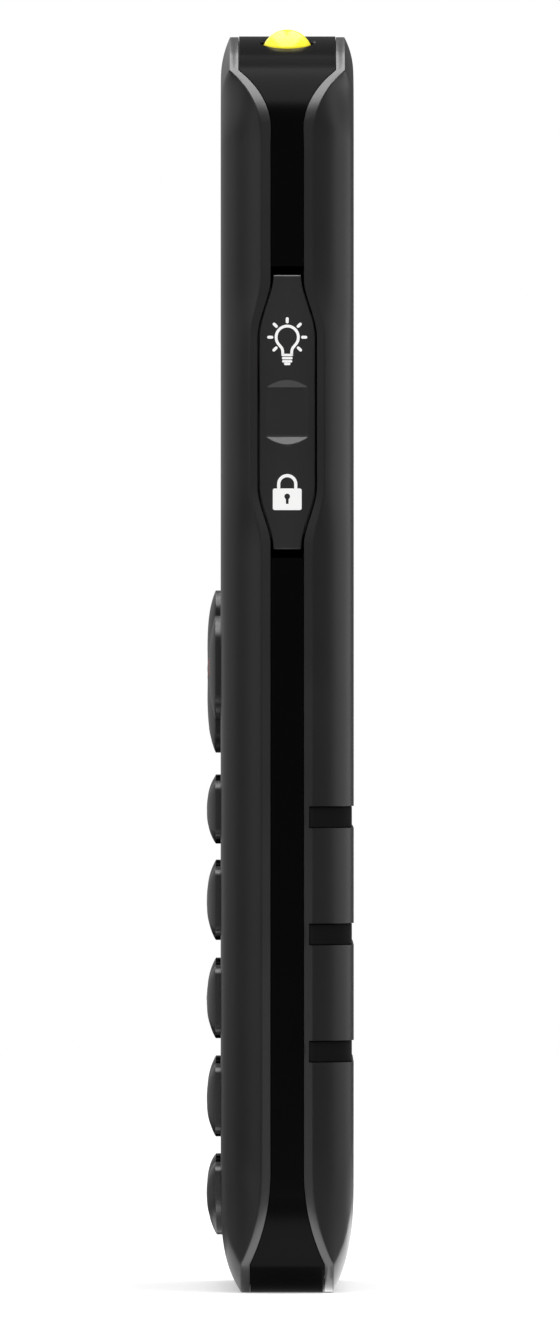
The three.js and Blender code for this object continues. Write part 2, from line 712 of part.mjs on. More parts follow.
const betweenRows = (MEMORY_ROW_TOP + CALL_Z - CALL_HEIGHT / 2) / 2;
const screwPlaces = [
  { x: HALF_WIDTH - SCREW_INSET, z: BODY_HEIGHT - SCREW_TOP_DROP },
  { x: HALF_WIDTH - SCREW_INSET, z: betweenRows },
  { x: BOTTOM_SCREW_X, z: BOTTOM_SCREW_Z },
].flatMap(({ x, z }) => [
  { x, z },
  { x: -x, z },
]);
const bosses = screwPlaces.map(({ x, z }) =>
  barY(BOSS_RADIUS, x, FRONT_INSIDE - WALL / 2, BOARD_FRONT - LAYER_GAP, z).intersect(
    shellVolume,
  ),
);
const pilotHoles = screwPlaces.map(({ x, z }) =>
  barY(SCREW_RADIUS + SCREW_CLEARANCE, x, FRONT_INSIDE, BOARD_FRONT, z),
);
const windowBack = WINDOW_THICK - HALF_DEPTH;
const windowCut = (grown, y1) =>
  roundedPlate(
    WINDOW_WIDTH + 2 * grown,
    WINDOW_HEIGHT + 2 * grown,
    WINDOW_CORNER,
    0,
    WINDOW_Z,
    -HALF_DEPTH - OVERRUN,
    y1,
  );
const earSlot = (grown, y0, y1) =>
  roundedPlate(
    EARPIECE_SLOT_WIDTH + 2 * grown,
    EARPIECE_SLOT_HEIGHT + 2 * grown,
    EARPIECE_SLOT_CORNER,
    0,
    EARPIECE_Z,
    y0,
    y1,
  );
const keyReach = KEY_FLANGE + FIT;
const keyWell = block(
  -KEYS_HALF_WIDTH - keyReach,
  KEYS_HALF_WIDTH + keyReach,
  FRONT_INSIDE,
  KEY_BACK,
  KEYS_BOTTOM - keyReach,
  KEYS_TOP + keyReach,
);
const earWell = block(
  -EARPIECE_WIDTH / 2 - FIT,
  EARPIECE_WIDTH / 2 + FIT,
  FRONT_INSIDE,
  BOARD_FRONT,
  EARPIECE_Z - EARPIECE_HEIGHT / 2 - FIT,
  EARPIECE_Z + EARPIECE_HEIGHT / 2 + FIT,
);
const sliderCut = sliderOutline(SLIDER_CLEARANCE, HALF_WIDTH / 2, HALF_WIDTH + OVERRUN);
const frontBody = cut(
  join(cut(shell.intersect(layer(-1)), keyWell, earWell), ...bosses),
  ...pilotHoles,
  ...keyHoles,
  windowCut(-WINDOW_LEDGE, FRONT_INSIDE + OVERRUN),
  windowCut(FIT, windowBack + LAYER_GAP),
  earSlot(0, -HALF_DEPTH - OVERRUN, FRONT_INSIDE + OVERRUN),
  sliderCut,
);
add("front_cover", frontBody, GREY_SHELL);

const windowPlate = roundedPlate(
  WINDOW_WIDTH,
  WINDOW_HEIGHT,
  WINDOW_CORNER,
  0,
  WINDOW_Z,
  -HALF_DEPTH,
  windowBack,
);
add("display_window", windowPlate, DARK_GLASS);
const lcdBody = block(
  LCD_SIDE_INSET - WINDOW_WIDTH / 2,
  WINDOW_WIDTH / 2 - LCD_SIDE_INSET,
  FRONT_INSIDE + LAYER_GAP,
  BOARD_FRONT - LAYER_GAP,
  WINDOW_TOP - WINDOW_HEIGHT + LCD_END_INSET,
  WINDOW_TOP - LCD_END_INSET,
);
add("lcd_module", lcdBody, STEEL);
add("earpiece_mesh", earSlot(-FIT / 2, FIT - HALF_DEPTH, FRONT_INSIDE), BLACK_BAND);
const earpieceBody = roundedPlate(
  EARPIECE_WIDTH,
  EARPIECE_HEIGHT,
  EARPIECE_CORNER,
  0,
  EARPIECE_Z,
  FRONT_INSIDE + LAYER_GAP,
  BOARD_FRONT - LAYER_GAP,
);
add("earpiece", earpieceBody, DARK_PLASTIC);

// Battery cover, with grooves for three rubber grip strips that wrap round its sides

const gripSlab = (z, grown) =>
  block(
    -HALF_WIDTH - OVERRUN,
    HALF_WIDTH + OVERRUN,
    GRIP_EDGE - grown,
    HALF_DEPTH + OVERRUN,
    z - GRIP_HEIGHT / 2 - grown,
    z + GRIP_HEIGHT / 2 + grown,
  );
const lowered = (depth) => bodyVolume({ side: depth, face: depth });
const grooveFloor = lowered(GRIP_RECESS + GRIP_THICK + LAYER_GAP);
const stripOutside = lowered(GRIP_RECESS);
const stripInside = lowered(GRIP_RECESS + GRIP_THICK);
const gripPlaces = [];
for (let i = 0; i < GRIP_COUNT; i++) gripPlaces.push(GRIP_TOP_Z - i * GRIP_PITCH);
const grooves = gripPlaces.map((z) => cut(gripSlab(z, FIT / 2), grooveFloor));
const sosPlate = (grown, y0, y1) =>
  roundedPlate(SOS_WIDTH + 2 * grown, SOS_HEIGHT + 2 * grown, SOS_CORNER, 0, SOS_Z, y0, y1);
const soundSlots = [];
for (let i = 0; i < SOUND_SLOT_COUNT; i++) {
  const z = SPEAKER_Z + (i - (SOUND_SLOT_COUNT - 1) / 2) * SOUND_SLOT_PITCH;
  const slot = block(
    -SOUND_SLOT_WIDTH / 2,
    SOUND_SLOT_WIDTH / 2,
    DECK_FRONT - OVERRUN,
    HALF_DEPTH + OVERRUN,
    z - SOUND_SLOT_HEIGHT / 2,
    z + SOUND_SLOT_HEIGHT / 2,
  );
  soundSlots.push(slot);
}
const coverBody = cut(
  shell.intersect(layer(1)),
  ...grooves,
  ...soundSlots,
  sosPlate(FIT, BACK_INSIDE - OVERRUN, HALF_DEPTH + OVERRUN),
  sliderCut,
);
add("battery_cover", coverBody, GREY_SHELL);
gripPlaces.forEach((z, i) => {
  const strip = cut(gripSlab(z, 0).intersect(stripOutside), stripInside);
  add(`grip_strip_${i + 1}`, strip, BLACK_RUBBER);
});

// Frame: the black band between the two shells, the web behind the board, and the battery bay

const inset = WALL + TRAY_CLEARANCE;
const trayOutside = inside(inset, inset);
const trayInside = inside(inset + TRAY_WALL, WALL);
const level = (y0, y1, z0 = -OVERRUN, z1 = BODY_HEIGHT + OVERRUN) =>
  block(-HALF_WIDTH - OVERRUN, HALF_WIDTH + OVERRUN, y0, y1, z0, z1);
const band = cut(bodyVolume({ side: BAND_RECESS }), cavity).intersect(layer(0));
const web = inside(WALL / 2, 0)
  .intersect(layer(0))
  .intersect(level(WEB_FRONT, WEB_BACK));
const trayRim = cut(trayOutside, trayInside).intersect(level(WEB_FRONT, TRAY_DEPTH));
const bayBlock = (grown, y0, y1) =>
  roundedPlate(
    BATTERY_WIDTH + 2 * grown,
    BATTERY_HEIGHT + 2 * grown,
    BATTERY_CORNER,
    0,
    BATTERY_BOTTOM + BATTERY_HEIGHT / 2,
    y0,
    y1,
  );
const bayRim = cut(
  bayBlock(BAY_CLEARANCE + BAY_WALL, WEB_FRONT, TRAY_DEPTH),
  bayBlock(BAY_CLEARANCE, WEB_BACK, TRAY_DEPTH + OVERRUN),
);
const CONTACTS = {
  width: CONTACT_WIDTH,
  height: CONTACT_HEIGHT,
  x: 0,
  z: BAY_TOP + BAY_CLEARANCE + CONTACT_HEIGHT / 2,
};
const SHIELD = {
  ...SHIELD_SIZE,
  z: CONTACTS.z + CONTACT_HEIGHT / 2 + SHIELD_GAP + SHIELD_SIZE.height / 2,
};
const SIM = {
  ...SIM_SIZE,
  x: -(CARD_GAP + SIM_SIZE.width) / 2,
  z: CARD_Z + SIM_SIZE.height / 2,
};
const MEMORY = {
  ...MEMORY_SIZE,
  x: (CARD_GAP + MEMORY_SIZE.width) / 2,
  z: CARD_Z + MEMORY_SIZE.height / 2,
};
const deck = cut(trayOutside, bayBlock(BAY_CLEARANCE, 0, TRAY_DEPTH + OVERRUN)).intersect(
  level(DECK_FRONT, TRAY_DEPTH),
);
const pocketFloor = HALF_WIDTH + SLIDER_PROUD - SLIDER_THICK - SLIDER_CLEARANCE;
const padBack = pocketFloor - PAD_THICK;
const padHalfLength = SLIDER_LENGTH / 2 + SLIDER_TRAVEL + 2 * SLIDER_CLEARANCE;
const sliderPad = join(
  sliderOutline(SLIDER_CLEARANCE - SEAM, padBack, pocketFloor),
  block(
    padBack,
    pocketFloor,
    -SLIDER_HALF,
    SLIDER_HALF,
    SLIDER_Z - padHalfLength,
    SLIDER_Z + padHalfLength,
  ).intersect(layer(0)),
);
const sliderPocket = sliderOutline(
  SLIDER_CLEARANCE,
  pocketFloor,
  HALF_WIDTH + OVERRUN,
  SLIDER_TRAVEL + SLIDER_CLEARANCE,
);
const stemSlotHalf = STEM_HALF_LENGTH + SLIDER_TRAVEL + SLIDER_CLEARANCE;
const stemSlot = block(
  STEM_END_X - OVERRUN,
  HALF_WIDTH + OVERRUN,
  -STEM_HALF - SLIDER_CLEARANCE,
  STEM_HALF + SLIDER_CLEARANCE,
  SLIDER_Z - stemSlotHalf,
  SLIDER_Z + stemSlotHalf,
);
const volumeFace = -HALF_WIDTH - VOLUME_PROUD;
const volumeBack = volumeFace + VOLUME_THICK;
const volumeFloor = volumeBack + VOLUME_CLEARANCE;
const volumeHalfLength = VOLUME_HALF_LENGTH + VOLUME_CLEARANCE;
const volumePad = block(
  volumeFloor,
  volumeFloor + PAD_THICK,
  WEB_FRONT - VOLUME_HALF / 2,
  VOLUME_HALF,
  VOLUME_Z - volumeHalfLength,
  VOLUME_Z + volumeHalfLength,
);
const volumePocket = block(
  -HALF_WIDTH - OVERRUN,
  volumeFloor,
  -VOLUME_HALF - VOLUME_CLEARANCE,
  VOLUME_HALF + VOLUME_CLEARANCE,
  VOLUME_Z - volumeHalfLength,
  VOLUME_Z + volumeHalfLength,
);
const pusherAt = (way, grown, x0, x1) =>
  block(
    x0,
    x1,
    -VOLUME_PUSHER_HALF - grown,
    VOLUME_PUSHER_HALF + grown,
    VOLUME_Z + way * VOLUME_PUSHER_Z - VOLUME_PUSHER_HALF - grown,
    VOLUME_Z + way * VOLUME_PUSHER_Z + VOLUME_PUSHER_HALF + grown,
  );
const pusherHoles = [-1, 1].map((way) =>
  pusherAt(way, VOLUME_CLEARANCE, -HALF_WIDTH, volumeFloor + PAD_THICK + OVERRUN),
);
const postFront = BOARD_BACK + LAYER_GAP;
const posts = screwPlaces.map(({ x, z }) => barY(BOSS_RADIUS, x, postFront, WEB_BACK, z));
const screwHoles = screwPlaces.flatMap(({ x, z }) => [
  barY(SCREW_RADIUS + SCREW_CLEARANCE, x, BOARD_BACK, WEB_BACK + OVERRUN, z),
  barY(SCREW_HEAD_RADIUS + SCREW_CLEARANCE, x, WEB_BACK, TRAY_DEPTH + OVERRUN, z),
]);
const webWindow = ({ width, height, x = 0, z }, y1 = WEB_BACK + OVERRUN) =>
  block(
    x - width / 2 - BAY_CLEARANCE,
    x + width / 2 + BAY_CLEARANCE,
    WEB_FRONT - OVERRUN,
    y1,
    z - height / 2 - BAY_CLEARANCE,
    z + height / 2 + BAY_CLEARANCE,
  );
const switchFace = STEM_END_X - LAYER_GAP - FIT;
const SLIDE_SWITCH = {
  width: SWITCH_DEPTH,
  height: 2 * SWITCH_HALF_LENGTH,
  x: switchFace - SWITCH_DEPTH / 2,
  z: SLIDER_Z,
};
const volumeButton = volumeBack + VOLUME_PUSHER_LENGTH + VOLUME_CLEARANCE;
const volumeSwitches = [-1, 1].map((way) => ({
  width: VOLUME_SWITCH_DEPTH,
  height: VOLUME_SWITCH_HEIGHT,
  x: volumeButton + VOLUME_BUTTON_THICK + VOLUME_SWITCH_DEPTH / 2,
  z: VOLUME_Z + way * VOLUME_PUSHER_Z,
}));
const USB = {
  width: 2 * USB_HALF_WIDTH,
  height: USB_LENGTH,
  x: 0,
  z: USB_INSET + USB_LENGTH / 2,
};
const usbRoom = block(
  -USB_HALF_WIDTH - FIT,
  USB_HALF_WIDTH + FIT,
  BOARD_BACK - FIT,
  BOARD_BACK + LAYER_GAP + USB_THICK + FIT,
  -OVERRUN,
  USB_INSET + USB_LENGTH + FIT,
);
const micBack = BOARD_BACK + LAYER_GAP + MIC_THICK;
const micHole = solid(
  new THREE.CylinderGeometry(MIC_HOLE_RADIUS, MIC_HOLE_RADIUS, 3 * WALL, SMALL_ROUND_STEPS)
    .rotateX(90 * RAD)
    .translate(MIC_X, micBack - MIC_THICK / 2, 0),
);

// The torch lens stands in the top edge, tilted outwards as that edge slopes
const torchZ = onTopEdge(TORCH_X) - TORCH_BASE_DEPTH;
const torchPlace = (geometry) =>
  solid(
    geometry
      .rotateX(90 * RAD)
      .rotateY(TORCH_TILT * RAD)
      .translate(TORCH_X, 0, torchZ),
  );
const torchBar = (radius, from, to) =>
  torchPlace(
    new THREE.CylinderGeometry(radius, radius, to - from, ROUND_STEPS).translate(
      0,
      (from + to) / 2,
      0,
    ),
  );
const torchBack = -TORCH_STEM - TORCH_FLANGE_THICK;
const ledFront = torchBack - LAYER_GAP;
const torchHole = torchBar(TORCH_HOLE_RADIUS, FIT - TORCH_STEM - OVERRUN, OVERRUN);
const torchRoom = torchBar(
  TORCH_FLANGE_RADIUS + FIT,
  ledFront - TORCH_LED_THICK - FIT,
  FIT - TORCH_STEM,
);

const frameBody = cut(
  join(band, web, trayRim, bayRim, deck, sliderPad, volumePad, ...posts),
  sliderPocket,
  stemSlot,
  volumePocket,
  ...pusherHoles,
  ...screwHoles,
  webWindow(SIM),
  webWindow(MEMORY),
  webWindow(SLIDE_SWITCH),
  ...volumeSwitches.map((place) => webWindow(place)),
  webWindow(CONTACTS, CONTACT_TOP + BAY_CLEARANCE),
  sosPlate(FIT, DECK_FRONT - OVERRUN, TRAY_DEPTH + OVERRUN),
  ...soundSlots,
  usbRoom,
  micHole,
  torchHole,
  torchRoom,
);
add("frame", frameBody, BLACK_BAND);

for (const [i, { x, z }] of screwPlaces.entries()) {
  const head = WEB_BACK + LAYER_GAP;
  const screw = cut(
    join(
      barY(SCREW_HEAD_RADIUS, x, head, head + SCREW_HEAD_THICK, z),
      barY(SCREW_RADIUS, x, head - SCREW_LENGTH, head + SCREW_HEAD_THICK / 2, z),
    ),
    barY(SCREW_RECESS_RADIUS, x, head + SCREW_HEAD_THICK - SCREW_RECESS_DEPTH, head + OVERRUN, z, 6),
  );
  add(`screw_${i + 1}`, screw, STEEL);
}

// Torch: a domed lens with a flange, and the LED behind it

const domeArc = [];
const domeSteps = 4;
for (let i = 1; i <= domeSteps; i++) {
  const a = (90 * RAD * i) / domeSteps;
  domeArc.push(new THREE.Vector2(TORCH_RADIUS * Math.cos(a), TORCH_DOME * Math.sin(a)));
}
const lensProfile = [
  new THREE.Vector2(0, torchBack),
  new THREE.Vector2(TORCH_FLANGE_RADIUS, torchBack),
  new THREE.Vector2(TORCH_FLANGE_RADIUS, -TORCH_STEM),
  new THREE.Vector2(TORCH_RADIUS, -TORCH_STEM),
  new THREE.Vector2(TORCH_RADIUS, 0),
  ...domeArc.slice(0, -1),
  new THREE.Vector2(0, TORCH_DOME),
];
add("torch_lens", torchPlace(new THREE.LatheGeometry(lensProfile, ROUND_STEPS)), YELLOW_LENS);
const ledBlock = new THREE.BoxGeometry(2 * TORCH_LED_HALF, TORCH_LED_THICK, 2 * TORCH_LED_HALF);
add("torch_led", torchPlace(ledBlock.translate(0, ledFront - TORCH_LED_THICK / 2, 0)), STEEL);

// Slider: a crowned plate with a flat thumb recess, and a stem that moves the switch lever

const sliderFace = HALF_WIDTH + SLIDER_PROUD;
const sliderBack = sliderFace - SLIDER_THICK;
const crownRadius = (SLIDER_HALF ** 2 + SLIDER_CROWN ** 2) / (2 * SLIDER_CROWN);
const crownBar = solid(
  new THREE.CylinderGeometry(crownRadius, crownRadius, SLIDER_LENGTH + OVERRUN, 6 * ROUND_STEPS)
    .rotateX(90 * RAD)
    .translate(sliderFace - crownRadius, 0, SLIDER_Z),
);
const sliderPlate = sliderOutline(0, sliderBack, sliderFace + OVERRUN);
const thumbHalf = THUMB_LENGTH / 2;
const thumbSections = [
  [sliderFace - THUMB_DEPTH, thumbHalf],
  [sliderFace + OVERRUN, thumbHalf + (THUMB_RAMP * (THUMB_DEPTH + OVERRUN)) / THUMB_DEPTH],
];
const thumbRecess = loft(
  thumbSections.map(([x, half]) =>
    [
      [-1, -1],
      [-1, 1],
      [1, 1],
      [1, -1],
    ].map(([sy, sz]) => [x, sy * (SLIDER_HALF + OVERRUN), SLIDER_Z + sz * half]),
  ),
);
const stem = block(
  STEM_END_X,
  sliderBack + SLIDER_THICK / 2,
  -STEM_HALF,
  STEM_HALF,
  SLIDER_Z - STEM_HALF_LENGTH,
  SLIDER_Z + STEM_HALF_LENGTH,
);
const leverTip = STEM_END_X + LEVER_ENGAGEMENT;
const leverNotch = block(
  STEM_END_X - OVERRUN,
  leverTip + FIT,
  -STEM_HALF - OVERRUN,
  STEM_HALF + OVERRUN,
  SLIDER_Z - LEVER_HALF - FIT,
  SLIDER_Z + LEVER_HALF + FIT,
);
const crownedPlate = cut(sliderPlate.intersect(crownBar), thumbRecess);
add("torch_lock_slider", cut(join(crownedPlate, stem), leverNotch), GREY_SHELL);
const lever = block(
  leverTip - LEVER_LENGTH,
  leverTip,
  -STEM_HALF / 2,
  STEM_HALF / 4,
  SLIDER_Z - LEVER_HALF,
  SLIDER_Z + LEVER_HALF,
);
add("switch_lever", lever, STEEL);

// A part soldered to the back of the board
const onBoard = ({ width, height, x = 0, z }, thick) =>
  block(
    x - width / 2,
    x + width / 2,
    BOARD_BACK + LAYER_GAP,
    BOARD_BACK + LAYER_GAP + thick,
    z - height / 2,
    z + height / 2,
  );
const switchSlot = block(
  leverTip - LEVER_LENGTH - FIT,
  switchFace + OVERRUN,
  -STEM_HALF / 2 - FIT,
  STEM_HALF / 4 + FIT,
  SLIDER_Z - LEVER_HALF - SLIDER_TRAVEL - FIT,
  SLIDER_Z + LEVER_HALF + SLIDER_TRAVEL + FIT,
);
add("slide_switch", cut(onBoard(SLIDE_SWITCH, SWITCH_THICK), switchSlot), STEEL);

// Volume rocker and its two switches

const rockerShape = [];
for (let i = 0; i < SMALL_ROUND_STEPS; i++) {
  const end = i < SMALL_ROUND_STEPS / 2 ? 1 : -1;
  const turn = i < SMALL_ROUND_STEPS / 2 ? i : i - SMALL_ROUND_STEPS / 2;
  const a = (180 * RAD * turn) / (SMALL_ROUND_STEPS / 2 - 1);
  const straight = VOLUME_HALF_LENGTH - VOLUME_HALF;
  rockerShape.push([
    end * VOLUME_HALF * Math.cos(a),
    VOLUME_Z + end * (straight + VOLUME_HALF * Math.sin(a)),
  ]);
}
const pushers = [-1, 1].map((way) =>
  pusherAt(way, 0, volumeBack - VOLUME_THICK / 2, volumeBack + VOLUME_PUSHER_LENGTH),
);
add(
  "volume_rocker",
  join(sidePlate(rockerShape, volumeFace, volumeBack), ...pushers),
  GREY_SHELL,
);
volumeSwitches.forEach((place, i) => {
  const button = block(
    volumeButton,
    place.x,
    -VOLUME_PUSHER_HALF,
    VOLUME_PUSHER_HALF,
    place.z - VOLUME_PUSHER_HALF,
    place.z + VOLUME_PUSHER_HALF,
  );
  add(`volume_switch_${i + 1}`, join(onBoard(place, SWITCH_THICK), button), STEEL);
});

// Emergency key on the back, kept in by a flange under the deck, and its switch

const sosFlange = DECK_FRONT - LAYER_GAP;
const sosBack = sosFlange - SOS_FLANGE_THICK;
const sosKey = join(
  sosPlate(0, sosBack, HALF_DEPTH - SOS_RECESS),
  sosPlate(SOS_FLANGE, sosBack, sosFlange),
);
add("sos_key", sosKey, RED_KEY);
const sosButtonTop = sosBack - SOS_TRAVEL - LAYER_GAP;
const sosSwitch = join(
  block(
    -SOS_SWITCH_HALF,
    SOS_SWITCH_HALF,
    WEB_BACK + LAYER_GAP,
    sosButtonTop - SOS_BUTTON_THICK,
    SOS_Z - SOS_SWITCH_HALF,
    SOS_Z + SOS_SWITCH_HALF,
  ),
  barY(SOS_BUTTON_RADIUS, 0, WEB_BACK + FIT, sosButtonTop, SOS_Z),
);
add("sos_switch", sosSwitch, DARK_PLASTIC);

// Board, and the parts on it

const boardShape = new THREE.Shape();
const boardCorners = [
  [BOARD_HALF_WIDTH - BOARD_CHAMFER, BOARD_BOTTOM],
  [BOARD_HALF_WIDTH, BOARD_BOTTOM + BOARD_CHAMFER],
  [BOARD_HALF_WIDTH, BOARD_TOP - BOARD_CHAMFER],
  [BOARD_HALF_WIDTH - BOARD_CHAMFER, BOARD_TOP],
];
boardShape.setFromPoints(
  [...boardCorners, ...boardCorners.map(([x, z]) => [-x, z]).reverse()].map(
    ([x, z]) => new THREE.Vector2(x, z),
  ),
);
const boardHoles = screwPlaces.map(({ x, z }) =>
  barY(SCREW_RADIUS + SCREW_CLEARANCE, x, BOARD_FRONT - OVERRUN, BOARD_BACK + OVERRUN, z),
);
add("main_board", cut(plate(boardShape, BOARD_FRONT, BOARD_BACK), ...boardHoles), GREEN_BOARD);
add("shield_can", onBoard(SHIELD, SHIELD.thick), STEEL);
add("sim_holder", onBoard(SIM, SIM.thick), STEEL);
add("memory_card_holder", onBoard(MEMORY, MEMORY.thick), STEEL);

const usbFront = BOARD_BACK + LAYER_GAP;
const usbMouth = block(
  USB_MOUTH_WALL - USB_HALF_WIDTH,
  USB_HALF_WIDTH - USB_MOUTH_WALL,
  usbFront + USB_MOUTH_WALL,
  usbFront + USB_THICK - USB_MOUTH_WALL,
  USB_INSET - OVERRUN,
  USB_INSET + USB_LENGTH - USB_MOUTH_WALL,
);
const usbTongue = block(
  -USB_HALF_WIDTH / 2,
  USB_HALF_WIDTH / 2,
  usbFront + USB_THICK / 2,
  usbFront + USB_THICK / 2 + USB_TONGUE_THICK,
  USB_INSET + USB_MOUTH_WALL,
  USB_INSET + USB_LENGTH - USB_MOUTH_WALL / 2,
);
add("usb_socket", join(cut(onBoard(USB, USB_THICK), usbMouth), usbTongue), STEEL);
const micZ = BOARD_BOTTOM + MIC_RADIUS;
add("microphone", barY(MIC_RADIUS, MIC_X, BOARD_BACK + LAYER_GAP, micBack, micZ), STEEL);

const contactBlock = onBoard(CONTACTS, CONTACT_TOP - BOARD_BACK - LAYER_GAP);
const contactPins = [];
for (let i = 0; i < CONTACT_PIN_COUNT; i++) {
  const x = (i - (CONTACT_PIN_COUNT - 1) / 2) * CONTACT_PIN_PITCH;
  const z1 = CONTACTS.z;
  const z0 = z1 - CONTACT_HEIGHT / 2 - CONTACT_PIN_REACH;
  contactPins.push(
    block(
      x - CONTACT_PIN_WIDTH / 2,
      x + CONTACT_PIN_WIDTH / 2,
      WEB_BACK + CONTACT_PIN_WIDTH,
      CONTACT_TOP - CONTACT_PIN_WIDTH / 2,
      z0,
      z1,
    ),
  );
}
add("battery_contacts", join(contactBlock, ...contactPins), GOLD);

// Behind the web: battery, loudspeaker, vibration motor and antenna

const webSeat = WEB_BACK + LAYER_GAP;
add("battery", bayBlock(0, webSeat, webSeat + BATTERY_THICK), LABEL_GREY);
const speakerBody = block(
  -SPEAKER.width / 2,
  SPEAKER.width / 2,
  webSeat,
  webSeat + SPEAKER.thick,
  SPEAKER_Z - SPEAKER.height / 2,
  SPEAKER_Z + SPEAKER.height / 2,
);
add("loudspeaker", speakerBody, DARK_PLASTIC);
const motorX = -SPEAKER.width / 2 - MOTOR_GAP - MOTOR_RADIUS;
const motorBody = solid(
  new THREE.CylinderGeometry(MOTOR_RADIUS, MOTOR_RADIUS, MOTOR_LENGTH, SMALL_ROUND_STEPS)
    .rotateX(90 * RAD)
    .translate(motorX, webSeat + MOTOR_RADIUS, BODY_HEIGHT - MOTOR_DROP),
);
add("vibration_motor", motorBody, STEEL);
const antennaBack = DECK_FRONT - LAYER_GAP;
const antennaPlate = (width, z0, z1, grown = 0) =>
  block(-width / 2, width / 2, antennaBack - ANTENNA.thick - grown, antennaBack + grown, z0, z1);
const antennaTop = BATTERY_BOTTOM - ANTENNA_GAP;
const antennaBottom = antennaTop - ANTENNA.height;
const antennaBody = cut(
  antennaPlate(ANTENNA.width, antennaBottom, antennaTop),
  antennaPlate(
    ANTENNA.width - 2 * ANTENNA.arm,
    antennaBottom + ANTENNA.arm,
    antennaBottom + ANTENNA.arm + ANTENNA.slot,
    OVERRUN,
  ),
);
add("antenna", antennaBody, GOLD);

export default phone;
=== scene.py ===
"""A bar-shaped mobile phone for older users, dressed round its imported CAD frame.

It stands upright on its foot, its keys and screen towards -Y, its battery cover towards +Y and
its torch and lock slider on the +X side. Lengths are in metres and angles in degrees. Shapes are
worked out with y from the body's middle plane, and new_piece moves them to the frame's place.
"""
import math

import bmesh
import bpy
import numpy as np
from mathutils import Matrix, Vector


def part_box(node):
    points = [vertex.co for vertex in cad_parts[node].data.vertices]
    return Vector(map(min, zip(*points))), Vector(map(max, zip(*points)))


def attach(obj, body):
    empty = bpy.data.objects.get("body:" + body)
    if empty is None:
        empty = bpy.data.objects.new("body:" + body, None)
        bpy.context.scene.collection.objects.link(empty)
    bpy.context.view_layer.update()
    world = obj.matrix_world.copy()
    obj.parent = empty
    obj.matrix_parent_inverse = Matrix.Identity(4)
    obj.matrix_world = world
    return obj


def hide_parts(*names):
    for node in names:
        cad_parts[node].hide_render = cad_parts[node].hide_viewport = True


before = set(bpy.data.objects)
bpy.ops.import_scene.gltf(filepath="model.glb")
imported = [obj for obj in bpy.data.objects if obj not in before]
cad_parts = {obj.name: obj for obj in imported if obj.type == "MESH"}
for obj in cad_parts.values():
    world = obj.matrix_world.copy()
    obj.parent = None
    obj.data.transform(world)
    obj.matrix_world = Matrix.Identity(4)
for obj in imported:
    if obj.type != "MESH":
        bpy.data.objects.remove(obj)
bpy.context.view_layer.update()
scene = bpy.context.scene

# Camera: the photograph is a plain side view from +X, taken from far away with a long lens, so
# that the phone shows almost no perspective. The picture's height is measured halfway between
# the phone's middle and its near side.
PICTURE_HEIGHT = 0.14322
PICTURE_MIDDLE = (0.015, -0.00003, 0.06836)
CAMERA_DISTANCE = 2.6
SENSOR_MM = 36

camera_data = bpy.data.cameras.new("side_camera")
camera_data.sensor_fit = "AUTO"
camera_data.sensor_width = SENSOR_MM
camera_data.lens = SENSOR_MM * CAMERA_DISTANCE / PICTURE_HEIGHT
camera_data.clip_start = 0.1
camera_data.clip_end = 100
camera = bpy.data.objects.new("side_camera", camera_data)
camera.location = (PICTURE_MIDDLE[0] + CAMERA_DISTANCE, *PICTURE_MIDDLE[1:])
camera.rotation_euler = (math.radians(90), 0, math.radians(90))
scene.collection.objects.link(camera)
scene.camera = camera
scene.view_settings.view_transform = "Standard"

# Studio: a white table in a white room with one soft lamp overhead. As in a product studio, cards
# round the phone are there for its gloss alone: black flags keep its near side and its outline
# dark, and bright cards above it and at its foot light up what slopes towards them.
TABLE_RADIUS = 1.5
TABLE_GLOW = 0.25
TABLE_WHITE = 0.9
TABLE_BOUNCE = 0.35
LAMP_SIZE = 0.8
LAMP_HEIGHT = 0.85
LAMP_RADIANCE = 1.2
FLAG_RADIUS = 0.6
# Each is an arc about the phone: its first and last direction, its lower and upper edge, and its
# brightness
UPRIGHT_CARDS = [
    (-55, 79, 0.001, 0.4, 0),
    (-88, -64, 0.001, 0.26, 0),
    (-134, -88, 0.001, 0.26, 0.42),
    (-105, -58, 0.45, 0.85, 2),
    (187, 226, 0.001, 0.22, 0.4),
    (137, 173, 0.001, 0.45, 0.15),
    (92, 137, 0.15, 0.45, 0.25),
    (173, 187, 0.001, 0.9, 0.14),
]
TABLE_FLAG_START = 0.034
TABLE_FLAG_HEIGHT = 0.0004
# Each is a level rectangle: its two values of x, its two of y, its height, and its brightness
LEVEL_CARDS = [
    ("overhead_card", (-0.28, 1.25, -0.6, 0.6, 0.9), 8),
    ("rear_overhead_card", (-0.9, -0.28, -0.6, 0.6, 0.9), 4.2),
    ("band_shade", (-0.6, -0.1, -0.07, 0.07, 0.89), 1),
    ("foot_card", (0.031, 0.057, -0.013, 0.013, 0.0005), 3.9),
    ("heel_strip_card", (0, 0.034, 0.0046, 0.0057, 0.0001), 4.6),
    ("heel_card", (-0.03, 0.034, 0.0057, 0.03, 0.0001), 2.2),
    ("rear_floor_card", (-0.16, -0.03, 0.012, 0.08, 0.0005), 3),
    ("recess_card", (0.13, 0.22, -0.045, 0.045, 0.0005), 3.2),
]


def plain_material(name):
    """A new node material, its node tree and its main shader."""
    material = bpy.data.materials.new(name)
    material.use_nodes = True
    tree = material.node_tree
    return material, tree, tree.nodes["Principled BSDF"]


